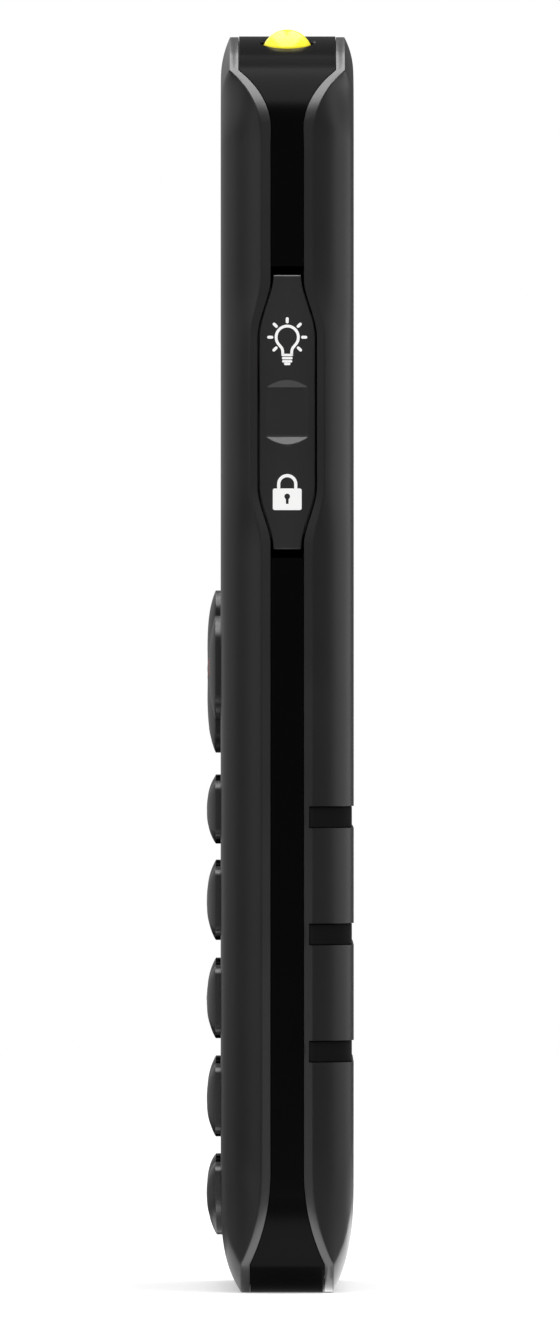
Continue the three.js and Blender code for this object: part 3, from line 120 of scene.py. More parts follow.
def sheet_between(name, across, up, place):
    """A grid of quads: place(across, up) gives the points of every pair of the two parameters."""
    columns, rows = np.meshgrid(across, up)
    points = np.stack(place(columns, rows), axis=-1).reshape(-1, 3)
    index = np.arange(points.shape[0]).reshape(columns.shape)
    corners = [index[:-1, :-1], index[:-1, 1:], index[1:, 1:], index[1:, :-1]]
    mesh = bpy.data.meshes.new(name)
    mesh.from_pydata(points.tolist(), [], np.stack(corners, axis=-1).reshape(-1, 4).tolist())
    made = bpy.data.objects.new(name, mesh)
    scene.collection.objects.link(made)
    return made


def gloss_card(name, sheet, brightness):
    """A sheet that only glossy reflections see, with its own brightness."""
    material, tree, shader = plain_material(name)
    shader.inputs["Base Color"].default_value = (0.01, 0.01, 0.01, 1)
    shader.inputs["Specular IOR Level"].default_value = 0
    shader.inputs["Emission Color"].default_value = (1, 1, 1, 1)
    shader.inputs["Emission Strength"].default_value = brightness
    sheet.data.materials.append(material)
    sheet.visible_camera = False
    sheet.visible_diffuse = False
    sheet.visible_shadow = False
    sheet.visible_transmission = False
    return sheet


def flat_sheet(name, x0, x1, y0, y1, z):
    """A level rectangle between two values of x and of y."""
    return sheet_between(name, [x0, x1], [y0, y1], lambda x, y: (x, y, np.full_like(x, z)))


def flat_ring(name, start, end, z):
    """A level ring about the phone between two radii."""
    return sheet_between(
        name,
        np.linspace(0, 2 * math.pi, 97),
        [start, end],
        lambda turn, reach: (reach * np.cos(turn), reach * np.sin(turn), np.full_like(turn, z)),
    )


table_top = flat_ring("table_top", 0, TABLE_RADIUS, 0)
table_material, tree, shader = plain_material("white_table")
light_path = tree.nodes.new("ShaderNodeLightPath")
table_colour = tree.nodes.new("ShaderNodeMix")
table_colour.data_type = "RGBA"
table_colour.inputs["A"].default_value = (TABLE_WHITE, TABLE_WHITE, TABLE_WHITE, 1)
table_colour.inputs["B"].default_value = (TABLE_BOUNCE, TABLE_BOUNCE, TABLE_BOUNCE, 1)
tree.links.new(light_path.outputs["Is Diffuse Ray"], table_colour.inputs["Factor"])
tree.links.new(table_colour.outputs["Result"], shader.inputs["Base Color"])
tree.links.new(table_colour.outputs["Result"], shader.inputs["Emission Color"])
shader.inputs["Emission Strength"].default_value = TABLE_GLOW
shader.inputs["Roughness"].default_value = 0.9
shader.inputs["Specular IOR Level"].default_value = 0.1
table_top.data.materials.append(table_material)

for number, (start, end, low, high, brightness) in enumerate(UPRIGHT_CARDS, 1):
    upright = sheet_between(
        f"upright_card_{number}",
        np.radians(np.linspace(start, end, 40)),
        [low, high],
        lambda turn, z: (FLAG_RADIUS * np.cos(turn), FLAG_RADIUS * np.sin(turn), z),
    )
    gloss_card(f"upright_light_{number}", upright, brightness)
table_flag = flat_ring("table_flag", TABLE_FLAG_START, FLAG_RADIUS, TABLE_FLAG_HEIGHT)
gloss_card("black_table_flag", table_flag, 0)
for name, place, brightness in LEVEL_CARDS:
    gloss_card(name, flat_sheet(name, *place), brightness)

lamp_data = bpy.data.lights.new("overhead_softbox", "AREA")
lamp_data.shape = "SQUARE"
lamp_data.size = LAMP_SIZE
lamp_data.energy = LAMP_RADIANCE * math.pi * LAMP_SIZE**2
lamp = bpy.data.objects.new("overhead_softbox", lamp_data)
lamp.location = (0, 0, LAMP_HEIGHT)
lamp.visible_camera = False
lamp.visible_glossy = False
scene.collection.objects.link(lamp)

world = bpy.data.worlds.new("white_room")
world.use_nodes = True
world.node_tree.nodes["Background"].inputs["Color"].default_value = (1, 1, 1, 1)
world.node_tree.nodes["Background"].inputs["Strength"].default_value = 1
scene.world = world

# Front cover: a thin satin grey moulding, dished towards its edges. It holds the keys, the
# window and the earpiece, and is screwed to the black frame from behind.
HALF_WIDTH = 0.030
BODY_HEIGHT = 0.136
HALF_DEPTH = 0.0072
WALL = 0.0015
SEAM = 0.00005
OUTLINE_STEP = 0.0005
SIDE_STEP = 0.0008
TOP_ARCS = [(0.0077, 48), (0.0098, 72), (0.038, 90)]
FOOT_ARCS = [(0.0269, -18), (0.0045, -90)]
LAND_HALF = 0.00273
# The land's curves: how far from the top or the foot each starts, its radius, and the half width
# at which it stops
LAND_TOP = (0.01133, 0.0096, 0.0062)
LAND_FOOT = (0.013, 0.023, 0.00497)
RIM_WIDTH = 0.00095
RIM_BULGE = 0.00022
RIM_CURVE = 0.0072
BORDER_SIDE = 0.007
BORDER_TOP = 0.0043
BORDER_FOOT = 0.0125
# The border's powers at the sides, the top and the foot: -1 is the front cover, 1 the battery
# cover and 0 the walls inside them
SIDE_POWER = 2.9
TOP_POWERS = {-1: 2, 0: 2, 1: 2.3}
FOOT_POWERS = {-1: 3.8, 0: 2.9, 1: 2.9}
BORDER_RINGS = 26
BORDER_CROWDING = 1.25
INNER_RINGS = 12
RINGS_APART = 0.000001
FLAT_POINTS = 14
SLIDER_HALF_LENGTH = 0.0148
SLIDER_RAMP = 0.0068
SLIDER_LAND_BULGE = 0.00124
DISH_DEPTH = 0.00038
CREASE_RADIUS = 0.00009
EDGE_RADIUS = 0.00004
# The middle of a quarter round lies this share of its radius in from both of its faces
ROUND_MIDDLE = 0.3
CORNER_POINTS = 9
CHAMFER = 0.00015
OVERRUN = 0.001
KEY_GAP = 0.0002
SHELL_GREY = (0.0165, 0.0165, 0.017)
MIDDLE_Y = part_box("display_window")[0].y + HALF_DEPTH


def middle(node):
    """The middle of a CAD node's box, as x and z."""
    low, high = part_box(node)
    return (low.x + high.x) / 2, (low.z + high.z) / 2


SLIDER_Z = middle("torch_lock_slider")[1]


def rise(arcs):
    """How high a chain of arcs rises: the sum of each radius times the change of the sine."""
    ends = [0, *(end for _, end in arcs)]
    sines = np.diff(np.sin(np.radians(ends)))
    return float(sum(radius * step for (radius, _), step in zip(arcs, sines)))


def arc_chain(x, z, arcs):
    """Arcs joined without a corner, from (x, z) where the outward normal is +X. Each point is
    its arc's centre plus the radius along the normal. Columns are x, z and the normal's angle."""
    parts = []
    start = 0
    for radius, end in arcs:
        steps = max(4, round(radius * abs(math.radians(end - start)) / OUTLINE_STEP))
        turn = np.radians(np.linspace(start, end, steps + 1)[1:])
        centre_x = x - radius * math.cos(math.radians(start))
        centre_z = z - radius * math.sin(math.radians(start))
        part = [centre_x + radius * np.cos(turn), centre_z + radius * np.sin(turn), turn]
        parts.append(np.stack(part, axis=1))
        x, z, start = parts[-1][-1, 0], parts[-1][-1, 1], end
    return np.concatenate(parts)


def body_outline():
    """The body seen from the front, anticlockwise from the right end of the foot: foot corner,
    straight side and crown on the right, the flat top, the same mirrored, and the flat foot."""
    low, high = -rise(FOOT_ARCS), BODY_HEIGHT - rise(TOP_ARCS)
    side_z = np.linspace(low, high, round((high - low) / SIDE_STEP))
    side = np.stack([np.full_like(side_z, HALF_WIDTH), side_z, np.zeros_like(side_z)], axis=1)
    foot = arc_chain(HALF_WIDTH, low, FOOT_ARCS)[::-1]
    right = np.concatenate([foot, side, arc_chain(HALF_WIDTH, high, TOP_ARCS)])
    left = right[::-1] * [-1, 1, -1] + [0, 0, math.pi]
    share = np.linspace(1, -1, FLAT_POINTS)[1:-1, None]
    ones = np.ones_like(share)
    flat_top = right[-1] * np.hstack([share, ones, ones])
    flat_foot = right[0] * np.hstack([-share, ones, ones])
    flat_top[:, 2], flat_foot[:, 2] = math.pi / 2, -math.pi / 2
    return np.concatenate([right, flat_top, left, flat_foot])


outline = body_outline()
outline_x, outline_z, outline_turn = outline.T
outline_side, outline_up = np.cos(outline_turn), np.sin(outline_turn)


def smooth(share):
    """Zero below 0, one above 1, and three squares less two cubes of the share between them."""
    within = np.clip(share, 0, 1)
    return within * within * (3 - 2 * within)


def beside_slider(z, reach=0):
    """One beside the slider's full width, zero past its ends, with a smooth ramp between."""
    return smooth((SLIDER_HALF_LENGTH + reach - np.abs(z - SLIDER_Z)) / SLIDER_RAMP)


def land_half(z):
    """Half the width of the flat land at height z. It widens to both ends along circles: by the
    radius less the root of its square less that of the way into the curve, up to the widest."""
    start, radius, widest = LAND_TOP
    into_top = np.clip(z - (BODY_HEIGHT - start), 0, radius)
    at_top = np.minimum(LAND_HALF + radius - np.sqrt(radius**2 - into_top**2), widest)
    start, radius, widest = LAND_FOOT
    into_foot = np.clip(start - z, 0, radius)
    at_foot = np.minimum(LAND_HALF + radius - np.sqrt(radius**2 - into_foot**2), widest)
    return np.maximum(at_top, at_foot)


def parting_half(z):
    """How far from the middle plane the covers' edges lie, with half the seam taken off. The
    land's rim is a little wider halfway up its curve at the top, by 4 s (1 - s) of the bulge."""
    share = np.clip((z - BODY_HEIGHT + LAND_TOP[0]) / RIM_CURVE, 0, 1)
    return land_half(z) - RIM_WIDTH - RIM_BULGE * 4 * share * (1 - share) + SEAM / 2


beside = np.where(outline_x > 0, beside_slider(outline_z), 0)
crease_y = land_half(outline_z) + SLIDER_LAND_BULGE * beside


def body_ring(share, y=None, inset=0, facing=0):
    """A ring of the body's surface at a share of the border, 0 at the land's crease and 1 at
    the flat face. The surface falls from the face by (1 - share) to a power, and the ring moves
    inwards by the border's width times the share. An inset scales the ring towards the middle.
    The power depends on the way the border faces, and a little on which cover it is."""
    x = (outline_x - DISH_DEPTH * beside) * (1 - share * BORDER_SIDE / HALF_WIDTH)
    z = BORDER_FOOT * share + outline_z * (1 - share * (BORDER_TOP + BORDER_FOOT) / BODY_HEIGHT)
    if y is None:
        power = SIDE_POWER + (TOP_POWERS[facing] - SIDE_POWER) * np.clip(outline_up, 0, None)
        power += (FOOT_POWERS[facing] - SIDE_POWER) * np.clip(-outline_up, 0, None)
        fall = (HALF_DEPTH - crease_y) * (1 - share) ** power
        y = (HALF_DEPTH - fall) * (1 - inset / HALF_DEPTH)
    half = BODY_HEIGHT / 2
    x = x * (1 - inset / HALF_WIDTH)
    z = half + (z - half) * (1 - inset / half)
    return np.stack([x, np.broadcast_to(y, x.shape), z], axis=1)


def new_piece(name, points, faces):
    """A piece from its points, moved from the body's middle plane to the frame's place."""
    mesh = bpy.data.meshes.new(name)
    mesh.from_pydata((points + [0, MIDDLE_Y, 0]).tolist(), [], faces)
    made = bpy.data.objects.new(name, mesh)
    scene.collection.objects.link(made)
    return made


def loft(name, rings, capped=True, flip=False):
    """Rings of points joined by quads, each ring anticlockwise as seen from where the first one
    faces. The ends are closed by flat faces, or by a last band of quads from end to start."""
    rings = np.asarray(rings)
    count, around = rings.shape[:2]
    index = np.arange(count * around).reshape(count, around)
    if not capped:
        index = np.concatenate([index, index[:1]])
    after = np.roll(index, -1, axis=1)
    quads = np.stack([index[:-1], index[1:], after[1:], after[:-1]], axis=-1).reshape(-1, 4)
    faces = quads.tolist()
    if capped:
        faces += [index[0].tolist(), index[-1, ::-1].tolist()]
    if flip:
        faces = [face[::-1] for face in faces]
    return new_piece(name, rings.reshape(-1, 3), faces)


def shell(name, facing):
    """One cover: from the flat face out to the crease, over the land to the parting edge, and
    back along the inner wall. The crease and the edge have a small radius."""
    parting = parting_half(outline_z)
    shares = np.linspace(1, 0, BORDER_RINGS)[:-1] ** BORDER_CROWDING
    rings = [body_ring(share, facing=facing) for share in shares]
    rings.append(body_ring(CREASE_RADIUS / (2 * BORDER_SIDE), facing=facing))
    rings.append(body_ring(0, y=crease_y - CREASE_RADIUS))
    rings.append(body_ring(0, y=parting + EDGE_RADIUS))
    midway = EDGE_RADIUS * ROUND_MIDDLE
    rings.append(body_ring(0, y=parting + midway, inset=midway))
    rings.append(body_ring(0, y=parting, inset=EDGE_RADIUS))
    rings.append(body_ring(0, y=parting, inset=WALL))
    for number, share in enumerate(np.linspace(0, 1, INNER_RINGS), 1):
        ring = body_ring(share, inset=WALL)
        ring[:, 1] = np.maximum(ring[:, 1], parting_half(ring[:, 2]) + number * RINGS_APART)
        rings.append(ring)
    return loft(name, np.asarray(rings) * [1, facing, 1], flip=facing > 0)


def rounded_rectangle(width, height, corner, step=0.0004):
    """Four quarter circles joined by straight sides, anticlockwise, with points a step apart.
    The corner is one radius, or four from the lower right one on."""
    quarter = np.linspace(0, 90, CORNER_POINTS)
    turn = np.radians(np.concatenate([quarter - 90, quarter, quarter + 90, quarter + 180]))
    radius = np.repeat(np.broadcast_to(corner, 4), CORNER_POINTS)
    side_x = np.repeat([1, 1, -1, -1], CORNER_POINTS) * (width / 2 - radius)
    side_z = np.repeat([-1, 1, 1, -1], CORNER_POINTS) * (height / 2 - radius)
    points = np.stack([side_x + radius * np.cos(turn), side_z + radius * np.sin(turn)], axis=1)
    return along(np.concatenate([points, points[:1]]), step)[:-1]


def along(points, step):
    """The same line with points a step apart."""
    lengths = np.concatenate([[0], np.cumsum(np.linalg.norm(np.diff(points, axis=0), axis=1))])
    places = np.linspace(0, lengths[-1], max(3, round(lengths[-1] / step) + 1))
    return np.stack([np.interp(places, lengths, column) for column in points.T], axis=1)


def grown(points, by):
    """An outline about its own centre, grown alike on all sides."""
    return points * (1 + by / np.abs(points).max(axis=0))


def level_ring(points, y, by=0, x=0, z=0):
    """An outline grown on all sides, in the plane of one y and about a middle in x and z."""
    ring = grown(points, by)
    return np.stack([x + ring[:, 0], np.full(len(ring), y), z + ring[:, 1]], axis=1)


def prism(name, points, levels, x=0, z=0, capped=True):
    """An outline carried along y: each level is a y and how far the outline grows there."""
    return loft(name, [level_ring(points, y, by, x, z) for y, by in levels], capped)


def hole_levels(face, inside, by=0.0):
    """Levels of a hole's cutter that flares at the face, for a chamfered edge. The face is the
    one towards -Y when the inside is behind it, and the one towards +Y when it isn't."""
    way = 1 if inside > face else -1
    levels = [(face - way * OVERRUN, by + CHAMFER + OVERRUN), (face + way * CHAMFER, by), (inside, by)]
    return levels if way > 0 else levels[::-1]


def slider_outline(grow, travel=0, steps=24):
    """The slider seen from the side, as y and z, anticlockwise from its lower end: its half
    width ramps smoothly from each end to the full width."""
    half = SLIDER_HALF_LENGTH + travel
    ramp = np.linspace(0, SLIDER_RAMP, steps)
    z = np.concatenate([SLIDER_Z - half + ramp, (SLIDER_Z + half - ramp)[::-1]])
    widths = grow + SLIDER_END_HALF + (SLIDER_HALF - SLIDER_END_HALF) * beside_slider(z, travel)
    return np.concatenate([np.stack([widths, z], axis=1), np.stack([-widths, z], axis=1)[::-1]])


def side_prism(name, outlines, levels):
    """An outline in y and z carried along x, with one outline for each level's x."""
    rings = [np.insert(shape, 0, x, axis=1) for shape, x in zip(outlines, levels)]
    return loft(name, rings, flip=levels[0] < levels[-1])


def box_between(name, x0, x1, y0, y1, z0, z1):
    """A block between two values on each axis."""
    ring = np.array([[x0, z0], [x1, z0], [x1, z1], [x0, z1]])
    return loft(name, [np.insert(ring, 1, y, axis=1) for y in (y0, y1)])


def applied(piece):
    """The piece with its modifiers worked into its mesh."""
    graph = bpy.context.evaluated_depsgraph_get()
    mesh = bpy.data.meshes.new_from_object(piece.evaluated_get(graph))
    piece.modifiers.clear()
    piece.data = mesh
    return piece


def combined(piece, operation, *others):
    """The piece joined with, cut by or kept within the others, which are then removed."""
    for other in others:
        modifier = piece.modifiers.new("combined", "BOOLEAN")
        modifier.operation = operation
        modifier.solver = "MANIFOLD"
        modifier.object = other
    applied(piece)
    for other in others:
        bpy.data.objects.remove(other)
    return piece


def dressed(piece, material, body, slot, *nodes, sharp=32):
    """The piece with its material and smooth shading, riding on its body in the nodes' place.
    Its normals are weighted by area, so that flat faces stay flat up to their rims."""
    piece.data.shade_smooth()
    piece.data.set_sharp_from_angle(angle=math.radians(sharp))
    modifier = piece.modifiers.new("flat_faces_first", "WEIGHTED_NORMAL")
    modifier.keep_sharp = True
    applied(piece)
    piece.data.materials.clear()
    piece.data.materials.append(material)
    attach(piece, body)
    if nodes:
        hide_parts(*nodes)
    return piece


GLOSS_DRIFT = 0.1


def moulded(
    name,
    colour,
    roughness,
    grain=0.00012,
    depth=0.000004,
    cloud=0.012,
    spread=0.12,
    specular=0.5,
    metallic=0,
    glow=0,
    glow_colour=(1, 1, 1),
):
    """A material whose colour and roughness drift a little from place to place, by slow noise, and whose
    surface has a fine grain of the given size and depth. It may glow a little, which is painted light, as
    the thing is no lamp."""
    material, tree, shader = plain_material(name)
    shader.inputs["Specular IOR Level"].default_value = specular
    shader.inputs["Metallic"].default_value = metallic
    shader.inputs["Emission Color"].default_value = (*glow_colour, 1)
    shader.inputs["Emission Strength"].default_value = glow
    nodes, links = tree.nodes, tree.links
    place = nodes.new("ShaderNodeTexCoord")
    slow = nodes.new("ShaderNodeTexNoise")
    slow.inputs["Scale"].default_value = 1 / cloud
    slow.inputs["Detail"].default_value = 4
    links.new(place.outputs["Object"], slow.inputs["Vector"])
    tint = nodes.new("ShaderNodeMix")
    tint.data_type = "RGBA"
    tint.inputs["A"].default_value = (*[part * (1 - spread) for part in colour], 1)
    tint.inputs["B"].default_value = (*[min(1, part * (1 + spread)) for part in colour], 1)
    links.new(slow.outputs["Fac"], tint.inputs["Factor"])
    links.new(tint.outputs["Result"], shader.inputs["Base Color"])
    gloss = nodes.new("ShaderNodeMapRange")
    gloss.inputs["To Min"].default_value = roughness * (1 - GLOSS_DRIFT)
    gloss.inputs["To Max"].default_value = roughness * (1 + GLOSS_DRIFT)
    links.new(slow.outputs["Fac"], gloss.inputs["Value"])
    links.new(gloss.outputs["Result"], shader.inputs["Roughness"])
    fine = nodes.new("ShaderNodeTexNoise")
    fine.inputs["Scale"].default_value = 1 / grain
    fine.inputs["Detail"].default_value = 2
    links.new(place.outputs["Object"], fine.inputs["Vector"])
    bump = nodes.new("ShaderNodeBump")
    bump.inputs["Strength"].default_value = 0.6
    bump.inputs["Distance"].default_value = depth
    links.new(fine.outputs["Fac"], bump.inputs["Height"])
    links.new(bump.outputs["Normal"], shader.inputs["Normal"])
    return material


# The slider's and the keys' outlines, for their openings in the covers
SLIDER_HALF = 0.00298
SLIDER_END_HALF = 0.0015
SLIDER_CLEARANCE = 0.00024
SLIDER_FLARE = 0.00004
KEY_OUTLINE_STEP = 0.00022
KEY_CORNER = 0.0009
KEY_CROWN = 0.00008
KEY_OUTER_DROP = 0.0006
KEY_SIZE = (0.0144, 0.0087)
MEMORY_KEY_SIZE = (0.0144, 0.0075)
NAV_SIZE = (0.017, 0.0177)
NAV_CORNER = 0.002
NAV_CROWN = 0.0003
FOOT_KEY_CORNER = 0.0036
CALL_SIZE = (0.0133, 0.0113)
CALL_CORNER = 0.0026
ROW_NAMES = ["key_1", "key_2", "key_3", "key_4", "key_5", "key_6", "key_7", "key_8", "key_9"]
FOOT_ROW_NAMES = ["key_star", "key_0", "key_hash"]
MEMORY_NAMES = ["memory_key_1", "memory_key_2", "memory_key_3"]


def key_outline(width, height, corner, crown=KEY_CROWN):
    """A rounded rectangle whose upper and lower edges fall towards its sides, by the crown times
    the square of the share of the way to the side."""
    points = rounded_rectangle(width, height, corner, KEY_OUTLINE_STEP)
    across = points[:, 0] / (width / 2)
    narrowed = 1 - crown * across**2 / (height / 2)
    return points * np.stack([np.ones_like(across), narrowed], axis=1)


key_outlines = {}
for name in ROW_NAMES + FOOT_ROW_NAMES + MEMORY_NAMES:
    outer = round(middle(name)[0] / KEY_SIZE[0])
    width, height = MEMORY_KEY_SIZE if name in MEMORY_NAMES else KEY_SIZE
    corners = np.full(4, KEY_CORNER)
    if name in FOOT_ROW_NAMES and outer:
        corners[0 if outer > 0 else 3] = FOOT_KEY_CORNER
    key_outlines[name] = key_outline(width, height - 2 * KEY_OUTER_DROP * abs(outer), corners)
for name in ["call_key", "end_key"]:
    key_outlines[name] = key_outline(*CALL_SIZE, CALL_CORNER)
key_outlines["nav_ring"] = key_outline(*NAV_SIZE, NAV_CORNER, NAV_CROWN)

WINDOW_CORNER = 0.002
WINDOW_LEDGE = 0.0024
window_low, window_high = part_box("display_window")
window_size = (window_high.x - window_low.x, window_high.z - window_low.z)
window_x, window_z = middle("display_window")
window_depth = window_high.y - window_low.y
EAR_SLOT_CORNER = 0.0008
ear_low, ear_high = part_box("earpiece_mesh")
ear_x, ear_z = middle("earpiece_mesh")
ear_slot = rounded_rectangle(
    ear_high.x - ear_low.x + KEY_GAP, ear_high.z - ear_low.z + KEY_GAP, EAR_SLOT_CORNER
)
WELL_DEPTH = 0.0008
WELL_HALF_WIDTH = 0.0238
key_well = box_between(
    "key_well",
    -WELL_HALF_WIDTH,
    WELL_HALF_WIDTH,
    WALL - HALF_DEPTH,
    WALL - HALF_DEPTH + WELL_DEPTH,
    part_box("key_star")[0].z - KEY_GAP,
    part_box("nav_ring")[1].z + KEY_GAP,
)


def slider_cutter():
    """The opening for the slider, through the edges of both covers."""
    opening = slider_outline(SLIDER_CLEARANCE)
    flared = slider_outline(SLIDER_CLEARANCE + SLIDER_FLARE)
    land_x = HALF_WIDTH - DISH_DEPTH
    levels = [HALF_WIDTH / 2, land_x - SLIDER_FLARE, HALF_WIDTH + OVERRUN]
    return side_prism("slider_cutter", [opening, opening, flared], levels)


front_cover = shell("front_cover_shell", -1)
front_cutters = [key_well, slider_cutter()]
for name, shape in key_outlines.items():
    x, z = middle(name)
    hole = hole_levels(-HALF_DEPTH, WALL - HALF_DEPTH + OVERRUN, KEY_GAP)
    front_cutters.append(prism(f"hole_{name}", shape, hole, x, z))
opening = rounded_rectangle(
    window_size[0] - 2 * WINDOW_LEDGE, window_size[1] - 2 * WINDOW_LEDGE, WINDOW_CORNER, 0.001
)
through = [(-HALF_DEPTH - OVERRUN, 0), (WALL - HALF_DEPTH + OVERRUN, 0)]
front_cutters.append(prism("window_opening", opening, through, window_x, window_z))
seat = rounded_rectangle(*window_size, WINDOW_CORNER, 0.0006)
seat_levels = hole_levels(-HALF_DEPTH, window_depth - HALF_DEPTH + SEAM, SEAM)
front_cutters.append(prism("window_seat", seat, seat_levels, window_x, window_z))
ear_levels = hole_levels(-HALF_DEPTH, WALL - HALF_DEPTH + OVERRUN)
front_cutters.append(prism("ear_opening", ear_slot, ear_levels, ear_x, ear_z))
combined(front_cover, "DIFFERENCE", *front_cutters)
shell_plastic = moulded("satin_grey_shell", SHELL_GREY, 0.33)
dressed(front_cover, shell_plastic, "phone_body", "shell_grey", "front_cover")

# Battery cover: the matching rear moulding, clipped over the back. Three grooves hold the rubber
# grips, and it is pierced for the loudspeaker and for the emergency key.
GROOVE_DEPTH = 0.00085
GROOVE_GAP = 0.00003
GRIP_EDGE_Y = 0.00237
SOS_CORNER = 0.0025
SOS_FLANGE = 0.001
SOUND_SLOT = (0.013, 0.0012)
SOUND_CORNER = 0.00059
SOUND_PITCH = 0.0028
SOUND_SLOTS = 4
GRIP_NAMES = ["grip_strip_1", "grip_strip_2", "grip_strip_3"]


def wrap_line(start_y, step=0.00035):
    """The body's section in x and y, from y at the right side round the back to the left side,
    where the body is straight: the land, then the border's fall, then the flat back."""
    share = np.linspace(0, 1, 60)[1:]
    fall = (HALF_DEPTH - LAND_HALF) * (1 - share) ** SIDE_POWER
    right = [[HALF_WIDTH, start_y], [HALF_WIDTH, LAND_HALF]]
    right += np.stack([HALF_WIDTH - share * BORDER_SIDE, HALF_DEPTH - fall], axis=1).tolist()
    return along(np.array(right + [[-x, y] for x, y in right[::-1]]), step)


def wrapped(name, start_y, section, z):
    """A bar that follows the body's section: each point of the bar's own section is a depth
    below the surface and a height from the bar's middle, carried along the surface's normal."""
    line = wrap_line(start_y)
    ahead = np.gradient(line, axis=0)
    ahead /= np.linalg.norm(ahead, axis=1, keepdims=True)
    outwards = np.stack([ahead[:, 1], -ahead[:, 0]], axis=1)
    depth, height = np.array(section).T
    points = line[:, None, :] - outwards[:, None, :] * depth[None, :, None]
    heights = np.broadcast_to(z + height, points.shape[:2])
    return loft(name, np.stack([points[..., 0], points[..., 1], heights], axis=-1))


battery_cover = shell("battery_cover_shell", 1)
back_cutters = [slider_cutter()]
for name in GRIP_NAMES:
    low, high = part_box(name)
    half = (high.z - low.z) / 2 + GROOVE_GAP
    groove = [(-OVERRUN, half), (GROOVE_DEPTH, half), (GROOVE_DEPTH, -half), (-OVERRUN, -half)]
    back_cutters.append(wrapped(f"groove_{name}", GRIP_EDGE_Y - GROOVE_GAP, groove, middle(name)[1]))
speaker_x, speaker_z = middle("loudspeaker")
for number in range(SOUND_SLOTS):
    slot_z = speaker_z + (number - (SOUND_SLOTS - 1) / 2) * SOUND_PITCH
    slot_shape = rounded_rectangle(*SOUND_SLOT, SOUND_CORNER, 0.0002)
    levels = hole_levels(HALF_DEPTH, HALF_DEPTH - WALL - OVERRUN)
    back_cutters.append(prism(f"sound_{number}", slot_shape, levels, speaker_x, slot_z))
sos_low, sos_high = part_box("sos_key")
sos_x, sos_z = middle("sos_key")
sos_size = (sos_high.x - sos_low.x - 2 * SOS_FLANGE, sos_high.z - sos_low.z - 2 * SOS_FLANGE)
sos_shape = rounded_rectangle(*sos_size, SOS_CORNER)
levels = hole_levels(HALF_DEPTH, HALF_DEPTH - WALL - OVERRUN, KEY_GAP)
back_cutters.append(prism("sos_opening", sos_shape, levels, sos_x, sos_z))
combined(battery_cover, "DIFFERENCE", *back_cutters)
dressed(battery_cover, shell_plastic, "battery_cover", "shell_grey", "battery_cover")

# Grip strips: soft black rubber bars pressed into the cover's grooves, a little below its
# surface, that run round from one side to the other.
GRIP_DEPTH = 0.0002
GRIP_FLOOR = 0.00075
GRIP_ROUND = 0.00012
RUBBER_SPECULAR = 0.1
RUBBER_BLACK = (0.0035, 0.0035, 0.0036)
rubber = moulded(
    "black_rubber", RUBBER_BLACK, 0.65, grain=0.00025, depth=0.00001, specular=RUBBER_SPECULAR
)
for name in GRIP_NAMES:
    low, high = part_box(name)
    half = (high.z - low.z) / 2
    turn = np.radians(np.linspace(0, 90, 5))
    depths = GRIP_DEPTH + GRIP_ROUND * (1 - np.sin(turn))
    heights = half - GRIP_ROUND * (1 - np.cos(turn))
    upper = [(GRIP_FLOOR, half), *zip(depths, heights)]
    lower = [(depth, -height) for depth, height in upper]
    strip = wrapped(f"{name}_rubber", GRIP_EDGE_Y, lower + upper[::-1], middle(name)[1])
    dressed(strip, rubber, "battery_cover", "grip_rubber", name)

# Frame: the black chassis whose polished edge shows as a band between the two covers. The band
# has its own ring, and the chassis keeps its CAD shape inside it.
BAND_DEPTH = 0.00156
LIP_DEPTH = 0.002
LIP_REACH = 0.0004
BAND_ROUND = 0.00004
BAND_PROUD_TOP = 0.00008
BAND_SUNK_SIDE = 0.00003
CORE_INSET = 0.00055
POCKET_FLOOR = 0.02873
SLIDER_TRAVEL = 0.0007
VOLUME_POCKET_HALF = 0.00155
MERGE_DISTANCE = 1e-7
BAND_SPECULAR = 0.032
BAND_BLACK = (0.0028, 0.0028, 0.003)
CHASSIS_BLACK = (0.012, 0.012, 0.013)


def band_ring(name):
    """A ring round the body's outline: each point of its own section is a depth below the outline
    and a distance in from the half width there, carried along the outline's normal. Its outer
    edges are quarter rounds, and a lip behind the covers' walls shuts the seams."""
    turn = np.radians(np.linspace(0, 90, 5))
    round_depth = BAND_ROUND * (1 - np.sin(turn))
    round_back = BAND_ROUND * (1 - np.cos(turn))
    depth = np.concatenate([[LIP_DEPTH, BAND_DEPTH, BAND_DEPTH], round_depth])
    back = np.concatenate([[-LIP_REACH, -LIP_REACH, 0], round_back])
    depth = np.concatenate([depth, depth[::-1]])
    back = np.concatenate([back, back[::-1]])
    side = np.repeat([-1, 1], len(depth) // 2)
    half = parting_half(outline_z) - SEAM
    proud = BAND_PROUD_TOP * np.clip(outline_up, 0, 1) - BAND_SUNK_SIDE * np.abs(outline_side)
    out = proud[:, None] - depth[None, :]
    x = outline_x[:, None] - DISH_DEPTH * beside[:, None] + outline_side[:, None] * out
    z = np.maximum(outline_z[:, None] + outline_up[:, None] * out, 0)
    y = side * (half[:, None] - back)
    return loft(name, np.stack([x, y, z], axis=-1), capped=False, flip=True)


def cad_copy(name, node):
    """A copy of a CAD node with its loose triangles merged, to be carved into a new piece."""
    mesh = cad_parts[node].data.copy()
    work = bmesh.new()
    work.from_mesh(mesh)
    bmesh.ops.remove_doubles(work, verts=work.verts, dist=MERGE_DISTANCE)
    work.to_mesh(mesh)
    work.free()
    made = bpy.data.objects.new(name, mesh)
    scene.collection.objects.link(made)
    return made


